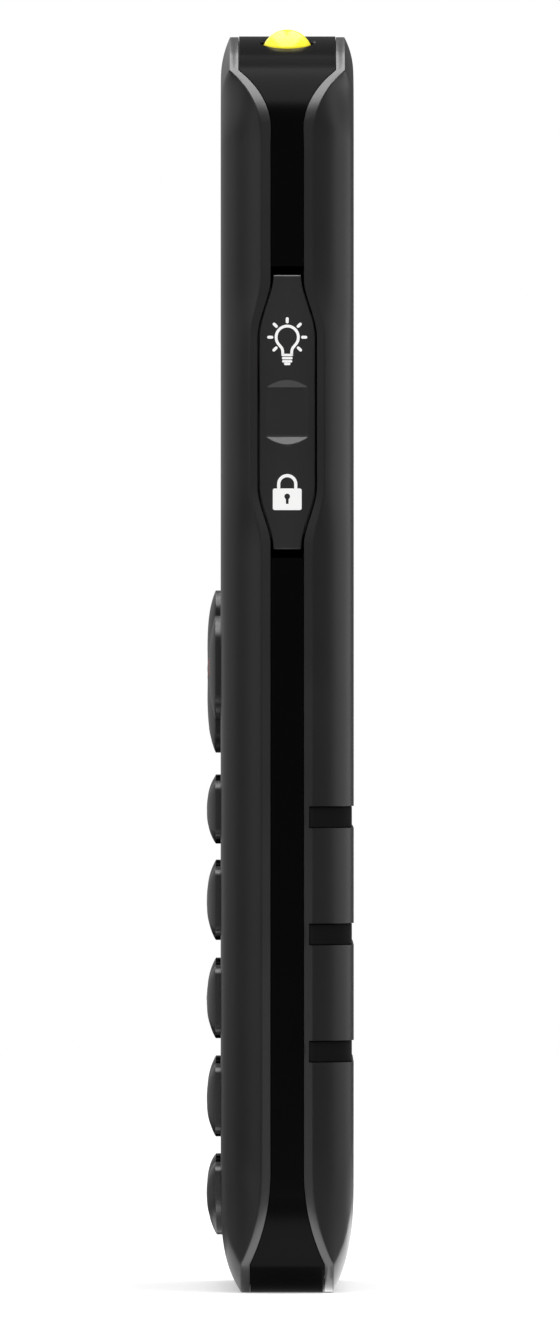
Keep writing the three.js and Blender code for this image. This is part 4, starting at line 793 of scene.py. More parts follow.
band = band_ring("edge_band")
pocket = slider_outline(SLIDER_CLEARANCE, SLIDER_TRAVEL + SLIDER_CLEARANCE)
band_cutters = [side_prism("slider_pocket", [pocket, pocket], [POCKET_FLOOR, HALF_WIDTH + OVERRUN])]
volume_low, volume_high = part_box("volume_rocker")
volume_z = middle("volume_rocker")[1]
volume_reach = (volume_high.z - volume_low.z) / 2 + KEY_GAP
band_cutters.append(
    box_between(
        "volume_pocket",
        -HALF_WIDTH - OVERRUN,
        BAND_DEPTH + OVERRUN - HALF_WIDTH,
        -VOLUME_POCKET_HALF,
        VOLUME_POCKET_HALF,
        volume_z - volume_reach,
        volume_z + volume_reach,
    )
)

# The torch stands in the top edge, tilted outwards as that edge slopes. Its opening is a little
# wider than its dome and flares at the surface.
TORCH_X = 0.0201
TORCH_TILT = 8
TORCH_BASE_DEPTH = 0.0002
TORCH_RADIUS = 0.00255
TORCH_HOLE = [(0.00293, -0.0022), (0.00293, 0.00012), (0.00453, 0.0017)]
top_radius = TOP_ARCS[-1][0]
flat_top_half = outline_x[np.isclose(outline_up, 1)].max()
torch_z = BODY_HEIGHT - top_radius - TORCH_BASE_DEPTH
torch_z += math.sqrt(top_radius**2 - (TORCH_X - flat_top_half) ** 2)


def turned(name, profile, steps=64):
    """A profile of radius and height spun round the torch's axis, from its foot to its crown, and
    tilted with that axis."""
    radius, height = np.array(profile).T
    turn = np.linspace(0, 2 * math.pi, steps, endpoint=False)
    x = radius[:, None] * np.cos(turn)
    y = radius[:, None] * np.sin(turn)
    z = np.broadcast_to(height[:, None], x.shape)
    tilt = math.radians(TORCH_TILT)
    tilted_x = TORCH_X + x * math.cos(tilt) + z * math.sin(tilt)
    tilted_z = torch_z - x * math.sin(tilt) + z * math.cos(tilt)
    return loft(name, np.stack([tilted_x, y, tilted_z], axis=-1), flip=True)


band_cutters.append(turned("torch_opening", TORCH_HOLE))
USB_CLEARANCE = 0.0004
USB_CORNER = 0.0009
MIC_HOLE_RADIUS = 0.0006
# A round end's radius as a share of the half width, so that a side is left between two corners
ROUND_END = 0.999


def foot_hole(node, points):
    """A hole up through the foot below a node: an outline in x and y carried along z, flared at
    the foot."""
    low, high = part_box(node)
    x, y = middle(node)[0], (low.y + high.y) / 2 - MIDDLE_Y
    rings = []
    for z, by in [(-OVERRUN, CHAMFER + OVERRUN), (CHAMFER, 0), (BAND_DEPTH + OVERRUN, 0)]:
        ring = grown(points, by)
        rings.append(np.stack([x + ring[:, 0], y - ring[:, 1], np.full(len(ring), z)], axis=1))
    return loft(f"hole_{node}", rings)


usb_low, usb_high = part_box("usb_socket")
usb_width, usb_depth = usb_high.x - usb_low.x, usb_high.y - usb_low.y
usb_shape = rounded_rectangle(usb_width + USB_CLEARANCE, usb_depth + USB_CLEARANCE, USB_CORNER)
band_cutters.append(foot_hole("usb_socket", usb_shape))
mic_width = 2 * MIC_HOLE_RADIUS
mic_shape = rounded_rectangle(mic_width, mic_width, MIC_HOLE_RADIUS * ROUND_END, 0.0001)
band_cutters.append(foot_hole("microphone", mic_shape))
combined(band, "DIFFERENCE", *band_cutters)
band_plastic = moulded(
    "gloss_black_band", BAND_BLACK, 0.22, depth=0.000001, specular=BAND_SPECULAR
)
dressed(band, band_plastic, "phone_body", "band_black")

# The chassis is cut down to what lies a little inside the body's surface, so that the finer
# covers and band enclose it.
core_shares = np.linspace(1, 0, 9)
core_rings = [body_ring(share, inset=CORE_INSET) * [1, -1, 1] for share in core_shares]
core_rings += [body_ring(share, inset=CORE_INSET) for share in core_shares[::-1]]
chassis = cad_copy("chassis", "frame")
combined(chassis, "INTERSECT", loft("chassis_limit", core_rings))
chassis_plastic = moulded("black_chassis", CHASSIS_BLACK, 0.5, grain=0.0003)
dressed(chassis, chassis_plastic, "phone_body", "band_black", "frame")

# Keys: domed caps of satin grey plastic on a flange that keeps them in. The outer columns' keys
# are a little lower than the middle ones, which show past them from the side.
KEY_WALL = 0.0006
KEY_PROUD = 0.0015
KEY_SEAT = -0.0054
KEY_BACK = -0.0049
KEY_FLANGE = 0.0005
KEY_ROUND = 0.00003
KEY_EDGE_SHARE = 1 - KEY_ROUND / KEY_CORNER / 4
KEY_WALL_TOP = -HALF_DEPTH - KEY_WALL
SIDE_FULLNESS = 2
CALL_PROUD = 0.001275
FOOT_KEY_LEAN = 0.00015
NAV_POWER = 4.2
KEY_GREY = (0.019, 0.019, 0.0195)
DOME_SHARES = np.concatenate([[0.03], np.linspace(0.1, 0.97, 16)])
# The dome's levels and the two of its rounded edge, which follow a lean
DOME_LEVELS = len(DOME_SHARES) + 2


def key_rings(shape, proud, lean=0):
    """A key cap's rings: the dome falls by a power of the share of the way to the edge, 2 towards
    the upper and lower edges and more towards the sides. Then come a rounded edge, the wall down
    to the seat, and the flange. A lean lowers the dome's foot and raises its upper part, in
    proportion to the height from the key's middle. The upper part's fades towards the edge, by
    the eighth power of the share."""
    across, up = np.abs(shape / np.abs(shape).max(axis=0)).T
    power = 2 + SIDE_FULLNESS * across**4 / (across**4 + up**4)
    rise = proud - KEY_WALL
    levels = [(share, KEY_WALL_TOP - rise * (1 - share**power), 0) for share in DOME_SHARES]
    levels += [(KEY_EDGE_SHARE, KEY_WALL_TOP, 0), (1, KEY_WALL_TOP + KEY_ROUND, 0)]
    levels += [(1, KEY_SEAT, 0), (1, KEY_SEAT, KEY_FLANGE), (1, KEY_BACK, KEY_FLANGE)]
    rings = []
    for share, y, by in levels:
        ring = grown(shape * share, by)
        upper = np.clip(ring[:, 1] / shape[:, 1].max(), 0, 1) * (1 - share**8)
        lower = np.clip(ring[:, 1] / shape[:, 1].max(), -1, 0) if len(rings) < DOME_LEVELS else 0
        leaned = np.broadcast_to(y, across.shape) - lean * (upper + lower)
        rings.append(np.stack([ring[:, 0], leaned, ring[:, 1]], axis=1))
    return np.array(rings)


key_plastic = moulded("satin_grey_keys", KEY_GREY, 0.36)
key_caps = {}
for name, shape in key_outlines.items():
    if name == "nav_ring":
        continue
    x, z = middle(name)
    proud = CALL_PROUD if name in ("call_key", "end_key") else KEY_PROUD
    lean = FOOT_KEY_LEAN if name in FOOT_ROW_NAMES else 0
    cap = loft(f"{name}_cap", key_rings(shape, proud, lean) + [x, 0, z])
    key_caps[name] = dressed(cap, key_plastic, name, "key_grey", name)

# Painted shade: thin black sleeves round the middle column's caps, whose ends show past the outer keys,
# stand for the shade that falls between the key columns. The lowest cap has its sleeve round its upper
# half alone.
SHADE_SLEEVE_NAMES = ["memory_key_2", "key_2", "key_5", "key_8", "key_0"]
SHADE_SLEEVE_PROUD = 0.00002
SHADE_SLEEVE_WALL = 0.0003
SHADE_SLEEVE_OVERLAP = 0.0004
shade_sleeve_top = KEY_WALL_TOP + KEY_ROUND
shade_sleeve_levels = [(shade_sleeve_top, SHADE_SLEEVE_PROUD), (KEY_SEAT, SHADE_SLEEVE_PROUD)]
shade_sleeve_levels += [(KEY_SEAT, -SHADE_SLEEVE_WALL), (shade_sleeve_top, -SHADE_SLEEVE_WALL)]
for name in SHADE_SLEEVE_NAMES:
    shape = key_outlines[name].copy()
    if name == "key_0":
        shape[:, 1] = np.maximum(shape[:, 1], -SHADE_SLEEVE_OVERLAP)
    shade_sleeve = prism(f"{name}_skirt", shape, shade_sleeve_levels, *middle(name), capped=False)
    dressed(shade_sleeve, band_plastic, name, "key_grey")

# Pip: the fifth key has a small raised pip in its middle, for finding it by touch. It is moulded
# in one with the cap, and its edge is chamfered.
PIP_SIZE = (0.0009, 0.00062)
PIP_CORNER = 0.0003
PIP_PROUD = 0.0001
PIP_CHAMFER = (0.00008, 0.00004)
pip_face = -HALF_DEPTH - KEY_PROUD - PIP_PROUD
pip_shape = rounded_rectangle(*PIP_SIZE, PIP_CORNER, 0.00008)
pip_levels = [(pip_face, -PIP_CHAMFER[0]), (pip_face + PIP_CHAMFER[1], 0), (KEY_WALL_TOP, 0)]
pip = prism("key_5_pip", pip_shape, pip_levels, *middle("key_5"))
dressed(pip, key_plastic, "key_5", "key_grey")

# Navigation ring and OK key: caps of the keys' plastic with flanges behind the front cover. The
# ring rocks about the round key in its middle, and its hole has a rounded lip.
OK_RADIUS = 0.0035
OK_FLANGE = 0.0002
NAV_HOLE_RADIUS = 0.0039
NAV_LIP_SHARE = 0.03
NAV_LIP_DROP = 0.00012
NAV_DOME_START = 0.99
nav_x, nav_z = middle("nav_ring")
nav_shape = key_outlines["nav_ring"]
nav_turn = np.arctan2(nav_shape[:, 1], nav_shape[:, 0])
nav_hole = NAV_HOLE_RADIUS * np.stack([np.cos(nav_turn), np.sin(nav_turn)], axis=1)
nav_reach = np.linalg.norm(nav_shape, axis=1)
nav_levels = [(KEY_BACK, KEY_FLANGE), (KEY_SEAT, KEY_FLANGE), (KEY_SEAT, 0), (KEY_WALL_TOP + KEY_ROUND, 0)]
nav_rings = [level_ring(nav_shape, y, by) for y, by in nav_levels]
for share in np.linspace(NAV_DOME_START, 0, 16):
    ring = nav_hole * (1 + NAV_LIP_SHARE) * (1 - share) + nav_shape * share
    spread = np.linalg.norm(ring, axis=1) / nav_reach
    y = KEY_WALL_TOP - (KEY_PROUD - KEY_WALL) * (1 - spread**NAV_POWER)
    nav_rings.append(np.stack([ring[:, 0], y, ring[:, 1]], axis=1))
hole_top = nav_rings[-1][:, 1] + NAV_LIP_DROP
nav_rings.append(np.stack([nav_hole[:, 0], hole_top, nav_hole[:, 1]], axis=1))
nav_rings.append(level_ring(nav_hole, KEY_BACK))
nav_cap = loft("nav_ring_cap", np.array(nav_rings[::-1]) + [nav_x, 0, nav_z], capped=False)
dressed(nav_cap, key_plastic, "nav_ring", "key_grey", "nav_ring")
ok_turn = np.linspace(0, 2 * math.pi, 72, endpoint=False)
ok_shape = OK_RADIUS * np.stack([np.cos(ok_turn), np.sin(ok_turn)], axis=1)
ok_rings = key_rings(ok_shape, KEY_PROUD)
ok_rings[-2:, :, [0, 2]] *= (OK_RADIUS + OK_FLANGE) / (OK_RADIUS + KEY_FLANGE)
ok_cap = loft("ok_key_cap", ok_rings + [nav_x, 0, nav_z])
dressed(ok_cap, key_plastic, "ok_key", "key_grey", "ok_key")

# Key legends: hard white ink, a hair above the caps, with a green and a red handset on the call
# and end keys. Each is cut from its own key's dome, so it follows the curve.
INK_RISE = 0.00003
INK_WHITE = (0.86, 0.86, 0.85)
INK_GREEN = (0.03, 0.42, 0.08)
INK_RED = (0.5, 0.02, 0.015)
# The white ink glows a little: painted light, which makes it brighter than the lamps alone do.
PAINTED_INK_LIGHT = 0.2
DIGIT_SIZE = 0.0052
MEMORY_SHARE = 0.9
STAR_DROP = 0.22
OK_SIZE = 0.0029
LETTER_SIZE = 0.0021
LETTERS = {"key_2": "abc", "key_3": "def", "key_4": "ghi", "key_5": "jkl", "key_6": "mno"}
LETTERS |= {"key_7": "pqrs", "key_8": "tuv", "key_9": "wxyz"}
DIGIT_LIFT = 0.00105
LETTER_DROP = 0.00235
LEGEND_DEPTH = 0.0012
LEGEND_Y = 0.0003 - HALF_DEPTH - KEY_PROUD


def mesh_points(mesh):
    """A mesh's points as an array, one row each."""
    points = np.empty(len(mesh.vertices) * 3, np.float32)
    mesh.vertices.foreach_get("co", points)
    return points.reshape(-1, 3)


def lettering(text, size, x, z, y=LEGEND_Y, facing=-1):
    """Words in the built-in typeface as a closed slab about the plane y, upright and facing -Y
    or +Y: their width runs along x, their height along z and their thickness along y."""
    curve = bpy.data.curves.new(text, "FONT")
    curve.body = text
    curve.size = size
    curve.align_x = "CENTER"
    curve.align_y = "CENTER"
    curve.extrude = LEGEND_DEPTH / 2
    curve.resolution_u = 4
    words = bpy.data.objects.new("words", curve)
    scene.collection.objects.link(words)
    graph = bpy.context.evaluated_depsgraph_get()
    mesh = bpy.data.meshes.new_from_object(words.evaluated_get(graph))
    bpy.data.objects.remove(words)
    work = bmesh.new()
    work.from_mesh(mesh)
    bmesh.ops.remove_doubles(work, verts=work.verts, dist=MERGE_DISTANCE)
    bmesh.ops.recalc_face_normals(work, faces=work.faces)
    work.to_mesh(mesh)
    work.free()
    across, up, out = mesh_points(mesh).astype(float).T
    points = np.stack([x - facing * across, MIDDLE_Y + y + facing * out, z + up], axis=1)
    mesh.vertices.foreach_set("co", points.ravel())
    mesh.update()
    made = bpy.data.objects.new("words", mesh)
    scene.collection.objects.link(made)
    return made


def inked(name, art, ground, rise=(0, -INK_RISE, 0)):
    """The part of the art that lies within a copy of the ground moved outwards by the rise."""
    mesh = ground.data.copy()
    mesh.vertices.foreach_set("co", (mesh_points(mesh) + rise).ravel())
    mesh.update()
    copy = bpy.data.objects.new("ground", mesh)
    scene.collection.objects.link(copy)
    art.name = name
    return combined(art, "INTERSECT", copy)


# The white ink's glow is painted light.
ink = {
    "white": moulded("white_ink", INK_WHITE, 0.5, spread=0.03, glow=PAINTED_INK_LIGHT),
    "green": moulded("green_ink", INK_GREEN, 0.5, spread=0.08),
    "red": moulded("red_ink", INK_RED, 0.5, spread=0.08),
}
legends = {name: name[-1] for name in ROW_NAMES}
legends |= {"key_star": "*", "key_0": "0", "key_hash": "#"}
legends |= dict(zip(MEMORY_NAMES, "ABC"))
for name, sign in legends.items():
    x, z = middle(name)
    size = DIGIT_SIZE * (MEMORY_SHARE if name in MEMORY_NAMES else 1)
    lift = DIGIT_LIFT if name in ROW_NAMES else 0
    drop = DIGIT_SIZE * STAR_DROP if sign == "*" else 0
    mark = inked(f"{name}_legend", lettering(sign, size, x, z + lift - drop), key_caps[name])
    dressed(mark, ink["white"], name, "key_grey")
for name, letters in LETTERS.items():
    x, z = middle(name)
    mark = inked(f"{name}_letters", lettering(letters, LETTER_SIZE, x, z - LETTER_DROP), key_caps[name])
    dressed(mark, ink["white"], name, "key_grey")
ok_mark = inked("ok_key_legend", lettering("OK", OK_SIZE, nav_x, nav_z), ok_cap)
dressed(ok_mark, ink["white"], "ok_key", "key_grey")


def slab(name, outlines, front, back, axis=1):
    """Flat shapes given a thickness, in one piece: shapes in x and z between two values of y, or
    with axis 0 shapes in y and z between two values of x. They are anticlockwise as seen from
    the front."""
    points, faces = [], []
    for shape in outlines:
        start, count = len(points), len(shape)
        for level in (front, back):
            points += np.insert(shape, axis, level, axis=1).tolist()
        near = np.arange(count) + start
        after = np.roll(near, -1)
        faces += np.stack([near, near + count, after + count, after], axis=1).tolist()
        faces += [near.tolist(), (near[::-1] + count).tolist()]
    return new_piece(name, np.array(points), faces)


def spun(points, turn):
    """Flat points turned anticlockwise about their origin, by an angle in degrees. The sine and
    the cosine are rounded, so that a quarter turn is exact."""
    cosine, sine = (round(way(math.radians(turn)), 12) for way in (math.cos, math.sin))
    return points @ np.array([[cosine, sine], [-sine, cosine]])


HANDSET_SIZE = 0.0026
HANDSET_REACH = 72
HANDSET_EAR = 26
HANDSET_GRIP_SHARE = 0.66
HANDSET_EAR_SHARE = 0.3
HANDSET_DROP = 0.6


def handset():
    """A telephone handset: a bar along an arc that reaches equally far to both sides of upright.
    Its inner edge is a smaller arc, which steps further inwards at the bar's two ends."""
    angle = np.linspace(90 - HANDSET_REACH, 90 + HANDSET_REACH, 41)
    ends = 1 - smooth((HANDSET_REACH - np.abs(angle - 90)) / HANDSET_EAR)
    outer = np.stack([np.cos(np.radians(angle)), np.sin(np.radians(angle))], axis=1)
    inner = (HANDSET_GRIP_SHARE - HANDSET_EAR_SHARE * ends)[:, None] * outer
    return HANDSET_SIZE * (np.concatenate([outer, inner[::-1]]) - [0, HANDSET_DROP])


legend_faces = (LEGEND_Y - LEGEND_DEPTH / 2, LEGEND_Y + LEGEND_DEPTH / 2)
for name, colour, turn in [("call_key", "green", 35), ("end_key", "red", 0)]:
    art = slab("handset", [spun(handset(), turn) + middle(name)], *legend_faces)
    mark = inked(f"{name}_handset", art, key_caps[name])
    dressed(mark, ink[colour], name, "key_grey")
ARROW_REACH = 0.0061
ARROW_HALF = 0.0009
arrow = [[ARROW_REACH + ARROW_HALF, 0], [ARROW_REACH, ARROW_HALF], [ARROW_REACH, -ARROW_HALF]]
arrows = [spun(arrow, turn) + [nav_x, nav_z] for turn in (0, 90, 180, 270)]
nav_mark = inked("nav_ring_arrows", slab("arrows", arrows, *legend_faces), nav_cap)
dressed(nav_mark, ink["white"], "nav_ring", "key_grey")

# Display window: a clear plate printed black round the screen, flush with the front cover. The
# screen behind it is off, so its area is only a little lighter than the print.
WINDOW_EDGE = 0.0002
SCREEN_HALF = (0.0178, 0.0208)
PRINT_BLACK = (0.0025, 0.0025, 0.003)
SCREEN_GREY = (0.02, 0.0225, 0.024)
window_shape = rounded_rectangle(*window_size, WINDOW_CORNER)
window_levels = [
    (-HALF_DEPTH, -WINDOW_EDGE),
    (-HALF_DEPTH + WINDOW_EDGE * ROUND_MIDDLE, -WINDOW_EDGE * ROUND_MIDDLE),
    (-HALF_DEPTH + WINDOW_EDGE, 0),
    (-HALF_DEPTH + window_depth, 0),
]
window_plate = prism("window_plate", window_shape, window_levels, window_x, window_z)
glass = moulded("window_glass", PRINT_BLACK, 0.04, depth=0.0)
tree = glass.node_tree
links, base_colour = tree.links, tree.nodes["Principled BSDF"].inputs["Base Color"]
place = tree.nodes.new("ShaderNodeTexCoord")
split = tree.nodes.new("ShaderNodeSeparateXYZ")
links.new(place.outputs["Object"], split.inputs["Vector"])
on_screen = tree.nodes.new("ShaderNodeMath")
on_screen.operation = "MULTIPLY"
screen_sides = [("X", window_x, SCREEN_HALF[0]), ("Z", window_z, SCREEN_HALF[1])]
for number, (axis, centre, half) in enumerate(screen_sides):
    near = tree.nodes.new("ShaderNodeMath")
    near.operation = "COMPARE"
    near.inputs[1].default_value = centre
    near.inputs[2].default_value = half
    links.new(split.outputs[axis], near.inputs[0])
    links.new(near.outputs[0], on_screen.inputs[number])
screen_tint = tree.nodes.new("ShaderNodeMix")
screen_tint.data_type = "RGBA"
screen_tint.inputs["B"].default_value = (*SCREEN_GREY, 1)
links.new(on_screen.outputs[0], screen_tint.inputs["Factor"])
links.new(base_colour.links[0].from_socket, screen_tint.inputs["A"])
links.new(screen_tint.outputs["Result"], base_colour)
dressed(window_plate, glass, "phone_body", "window_dark", "display_window")

# Earpiece mesh: a fine woven steel mesh, painted black and glued behind the slot above the
# window. The weave is a grid of round cells.
WEAVE_BLACK = (0.02, 0.02, 0.021)
WEAVE_PER_METRE = 2600
WEAVE_DEPTH = 0.0001
mesh_shape = rounded_rectangle(ear_high.x - ear_low.x, ear_high.z - ear_low.z, EAR_SLOT_CORNER)
mesh_levels = [(ear_low.y - MIDDLE_Y, 0), (ear_high.y - MIDDLE_Y, 0)]
ear_mesh = prism("earpiece_weave", mesh_shape, mesh_levels, ear_x, ear_z)
weave = moulded("black_weave", WEAVE_BLACK, 0.4)
tree = weave.node_tree
wires = tree.nodes.new("ShaderNodeTexVoronoi")
wires.inputs["Scale"].default_value = WEAVE_PER_METRE
wires.inputs["Randomness"].default_value = 0
place = tree.nodes.new("ShaderNodeTexCoord")
tree.links.new(place.outputs["Object"], wires.inputs["Vector"])
tree.nodes["Bump"].inputs["Distance"].default_value = WEAVE_DEPTH
tree.links.new(wires.outputs["Distance"], tree.nodes["Bump"].inputs["Height"])
dressed(ear_mesh, weave, "phone_body", "band_black", "earpiece_mesh")

# Torch and lock slider: a crowned satin plate let into the side, with a shallow thumb recess. A
# white bulb stands above the recess and a white padlock below it.
SLIDER_FACE = HALF_WIDTH + 0.0001
SLIDER_BACK = SLIDER_FACE - 0.0011
SLIDER_CROWN = 0.00045
SLIDER_ROUND = 0.00014
RECESS_HALF = 0.00268
RECESS_RAMP = 0.0008
RECESS_DEPTH = 0.00026
SLIDER_GREY = (0.0165, 0.0165, 0.017)
STEM_INNER_X = 0.0246
STEM_HALF_Y = 0.0012
STEM_HALF_Z = 0.0016
STEM_OVERLAP = 0.0003
face_radius = (SLIDER_HALF**2 + SLIDER_CROWN**2) / (2 * SLIDER_CROWN)


def slider_rings():
    """Sections across the slider from its lower end to its upper one. The face is a circle's
    arc, rounded at its edges. The recess is a flat floor below the arc's crown, with a straight
    ramp at both ends, and the surface is whichever lies deeper, the arc or the recess."""
    turn = np.radians(np.linspace(0, 90, 5))
    upper = np.concatenate(
        [
            np.linspace(0, RECESS_HALF, 10),
            np.linspace(RECESS_HALF, RECESS_HALF + RECESS_RAMP, 28)[1:],
            np.linspace(RECESS_HALF + RECESS_RAMP, SLIDER_HALF_LENGTH - 2 * SLIDER_ROUND, 34)[1:],
            SLIDER_HALF_LENGTH - SLIDER_ROUND * (1 - np.sin(turn)),
        ]
    )
    z = SLIDER_Z + np.concatenate([-upper[:0:-1], upper])
    from_end = np.minimum(z - SLIDER_Z + SLIDER_HALF_LENGTH, SLIDER_Z + SLIDER_HALF_LENGTH - z)
    half = SLIDER_END_HALF + (SLIDER_HALF - SLIDER_END_HALF) * beside_slider(z)
    share = np.sin(np.radians(np.linspace(-90, 90, 81)))
    y = half[:, None] * share[None, :]

    def rounding(distance):
        """How far a quarter round lies below the face at a distance from its outer side."""
        within = np.clip(distance, 0, SLIDER_ROUND)
        return SLIDER_ROUND - np.sqrt(SLIDER_ROUND**2 - (SLIDER_ROUND - within) ** 2)

    crowned = face_radius - np.sqrt(face_radius**2 - y**2)
    ramp = np.clip((np.abs(z - SLIDER_Z) - RECESS_HALF) / RECESS_RAMP, 0, 1)
    sunk = np.maximum(crowned, RECESS_DEPTH * (1 - ramp[:, None]))
    rounded = rounding(half[:, None] - np.abs(y)) + rounding(from_end)[:, None]
    x = SLIDER_FACE - sunk - rounded
    top = np.stack([x, y, np.broadcast_to(z[:, None], y.shape)], axis=-1)
    bottom = top[:, ::-1].copy()
    bottom[..., 0] = SLIDER_BACK
    return np.concatenate([top, bottom], axis=1)


slider_plate = loft("slider_plate", slider_rings(), flip=True)
slider_plastic = moulded("satin_grey_slider", SLIDER_GREY, 0.36)
dressed(slider_plate, slider_plastic, "torch_lock_slider", "slider_grey", sharp=40)
stem = box_between(
    "slider_stem",
    STEM_INNER_X,
    SLIDER_BACK + STEM_OVERLAP,
    -STEM_HALF_Y,
    STEM_HALF_Y,
    SLIDER_Z - STEM_HALF_Z,
    SLIDER_Z + STEM_HALF_Z,
)
dressed(stem, slider_plastic, "torch_lock_slider", "slider_grey", "torch_lock_slider")

# The slider's pictograms are printed in white ink. The bulb is its glass, four rows of thread and
# seven rays, and the padlock its body with a keyhole and its shackle.
ICON_DEPTH = (0.0004, -0.0008)
BULB_Z = SLIDER_Z + 0.00808
BULB_RADIUS = 0.0012
BULB_STROKE = 0.0003
BULB_NECK = [[0.00058, -0.00118], [0.0005, -0.00142], [0.00047, -0.00178]]
BULB_THREADS = [(-0.00192, 0.0005), (-0.00226, 0.00045), (-0.0026, 0.00042), (-0.00288, 0.00022)]
THREAD_STROKE = 0.00026
RAY_TURNS = (-44, 0, 45, 90, 135, 180, 224)
RAY_REACHES = (0.00166, 0.00183, 0.002)
RAY_STROKE = 0.00032
LOCK_Z = SLIDER_Z - 0.0094
LOCK_SIZE = (0.00311, 0.00233)
LOCK_CORNER = 0.0002
SHACKLE_RADIUS = 0.00092
SHACKLE_RISE = 0.00163
SHACKLE_FOOT = 0.00128
SHACKLE_STROKE = 0.00034
KEYHOLE_RADIUS = 0.00031
KEYHOLE_RISE = 0.0003
KEYHOLE_SLOT = (0.00014, -0.0008)
INK_OUT = (INK_RISE, 0, 0)


def stroke(points, width):
    """A line in y and z given a width, as a closed outline with round ends: half the width to
    both sides along the line's normal, and a half circle about each end."""
    points = np.asarray(points, float)
    ahead = np.gradient(points, axis=0)
    ahead /= np.linalg.norm(ahead, axis=1, keepdims=True)
    beside_line = np.stack([-ahead[:, 1], ahead[:, 0]], axis=1) * width / 2
    turn = np.radians(np.linspace(-90, 90, 9))[1:-1, None]
    tip = points[-1] + width / 2 * (np.cos(turn) * ahead[-1]) + np.sin(turn) * beside_line[-1]
    tail = points[0] - width / 2 * (np.cos(turn) * ahead[0]) - np.sin(turn) * beside_line[0]
    return np.concatenate([points - beside_line, tip, (points + beside_line)[::-1], tail])


def side_slab(name, *outlines):
    """Flat shapes in y and z given a thickness along x through the slider's face, in one piece."""
    front, back = (SLIDER_FACE + depth for depth in ICON_DEPTH)
    return slab(name, outlines, front, back, axis=0)


def arc(radius, start, end, count=25):
    """Points on a circle about the origin from one angle in degrees to another."""
    turn = np.radians(np.linspace(start, end, count))
    return radius * np.stack([np.cos(turn), np.sin(turn)], axis=1)


def on_slider(name, art):
    """Art printed on the slider's face in white."""
    mark = inked(name, art, slider_plate, INK_OUT)
    return dressed(mark, ink["white"], "torch_lock_slider", "slider_grey")


neck = np.array(BULB_NECK)
glass_line = np.concatenate([neck[::-1], arc(BULB_RADIUS, -46, 226, 49), neck * [-1, 1]])
bulb = [stroke(along(glass_line + [0, BULB_Z], 0.00008), BULB_STROKE)]
for low, half in BULB_THREADS:
    bulb.append(stroke(np.outer([-half, 0, half], [1, 0]) + [0, BULB_Z + low], THREAD_STROKE))
for turn in RAY_TURNS:
    ray = spun(np.outer(RAY_REACHES, [1, 0]), turn) + [0, BULB_Z]
    bulb.append(stroke(ray, RAY_STROKE))
on_slider("slider_bulb", side_slab("bulb", *bulb))
lock_body = rounded_rectangle(*LOCK_SIZE, LOCK_CORNER, 0.0001) + [0, LOCK_Z]
slot = [[-KEYHOLE_SLOT[0], KEYHOLE_SLOT[1]], KEYHOLE_SLOT]
keyhole = np.concatenate([arc(KEYHOLE_RADIUS, -60, 240), slot]) + [0, LOCK_Z + KEYHOLE_RISE]
lock = combined(side_slab("lock", lock_body), "DIFFERENCE", side_slab("keyhole", keyhole))
on_slider("slider_padlock", lock)
bow = arc(SHACKLE_RADIUS, 0, 180) + [0, SHACKLE_RISE]
feet = np.array([[SHACKLE_RADIUS, SHACKLE_FOOT], [-SHACKLE_RADIUS, SHACKLE_FOOT]])
shackle = np.concatenate([feet[:1], bow, feet[1:]]) + [0, LOCK_Z]
on_slider("slider_shackle", side_slab("shackle", stroke(shackle, SHACKLE_STROKE)))

# Torch lens: a dome of clear yellow plastic, in shape a ball's cap, on a stem whose flange keeps
# it in behind the band. A little glow stands for the light that passes through it.
LENS_DOME = 0.00165
LENS_STEM = -0.0015
LENS_FLANGE = (0.0033, -0.0021)
# The profile starts and ends a hair from the axis, and a small flat face closes it there
LENS_FOOT_START = 0.0002
LENS_CROWN_TURN = 0.03
LENS_YELLOW = (1.0, 0.86, 0.012)
LENS_GLOW_YELLOW = (1.0, 0.8, 0.02)
LENS_GLOW = 0.22
LENS_SPECULAR = 0.35
ball_radius = (TORCH_RADIUS**2 + LENS_DOME**2) / (2 * LENS_DOME)
dome_turn = np.linspace(math.asin(TORCH_RADIUS / ball_radius), LENS_CROWN_TURN, 18)
lens_profile = [(LENS_FOOT_START, LENS_FLANGE[1]), LENS_FLANGE]
lens_profile += [(LENS_FLANGE[0], LENS_STEM), (TORCH_RADIUS, LENS_STEM)]
dome_height = LENS_DOME - ball_radius * (1 - np.cos(dome_turn))
lens_profile += list(zip(ball_radius * np.sin(dome_turn), dome_height))
lens = turned("torch_dome", lens_profile)
lens_plastic = moulded(
    "yellow_lens",
    LENS_YELLOW,
    0.22,
    depth=0.0,
    spread=0.05,
    specular=LENS_SPECULAR,
    glow=LENS_GLOW,
    glow_colour=LENS_GLOW_YELLOW,
)
dressed(lens, lens_plastic, "phone_body", "lens_yellow", "torch_lens")

# Volume rocker: a bar of the slider's plastic with round ends, let into the left side, with a
# plus above and a minus below. Two pushers on its back reach its switches.
VOLUME_FACE = volume_low.x
VOLUME_HALF = 0.00125
VOLUME_HALF_LENGTH = 0.0095
VOLUME_THICK = 0.001
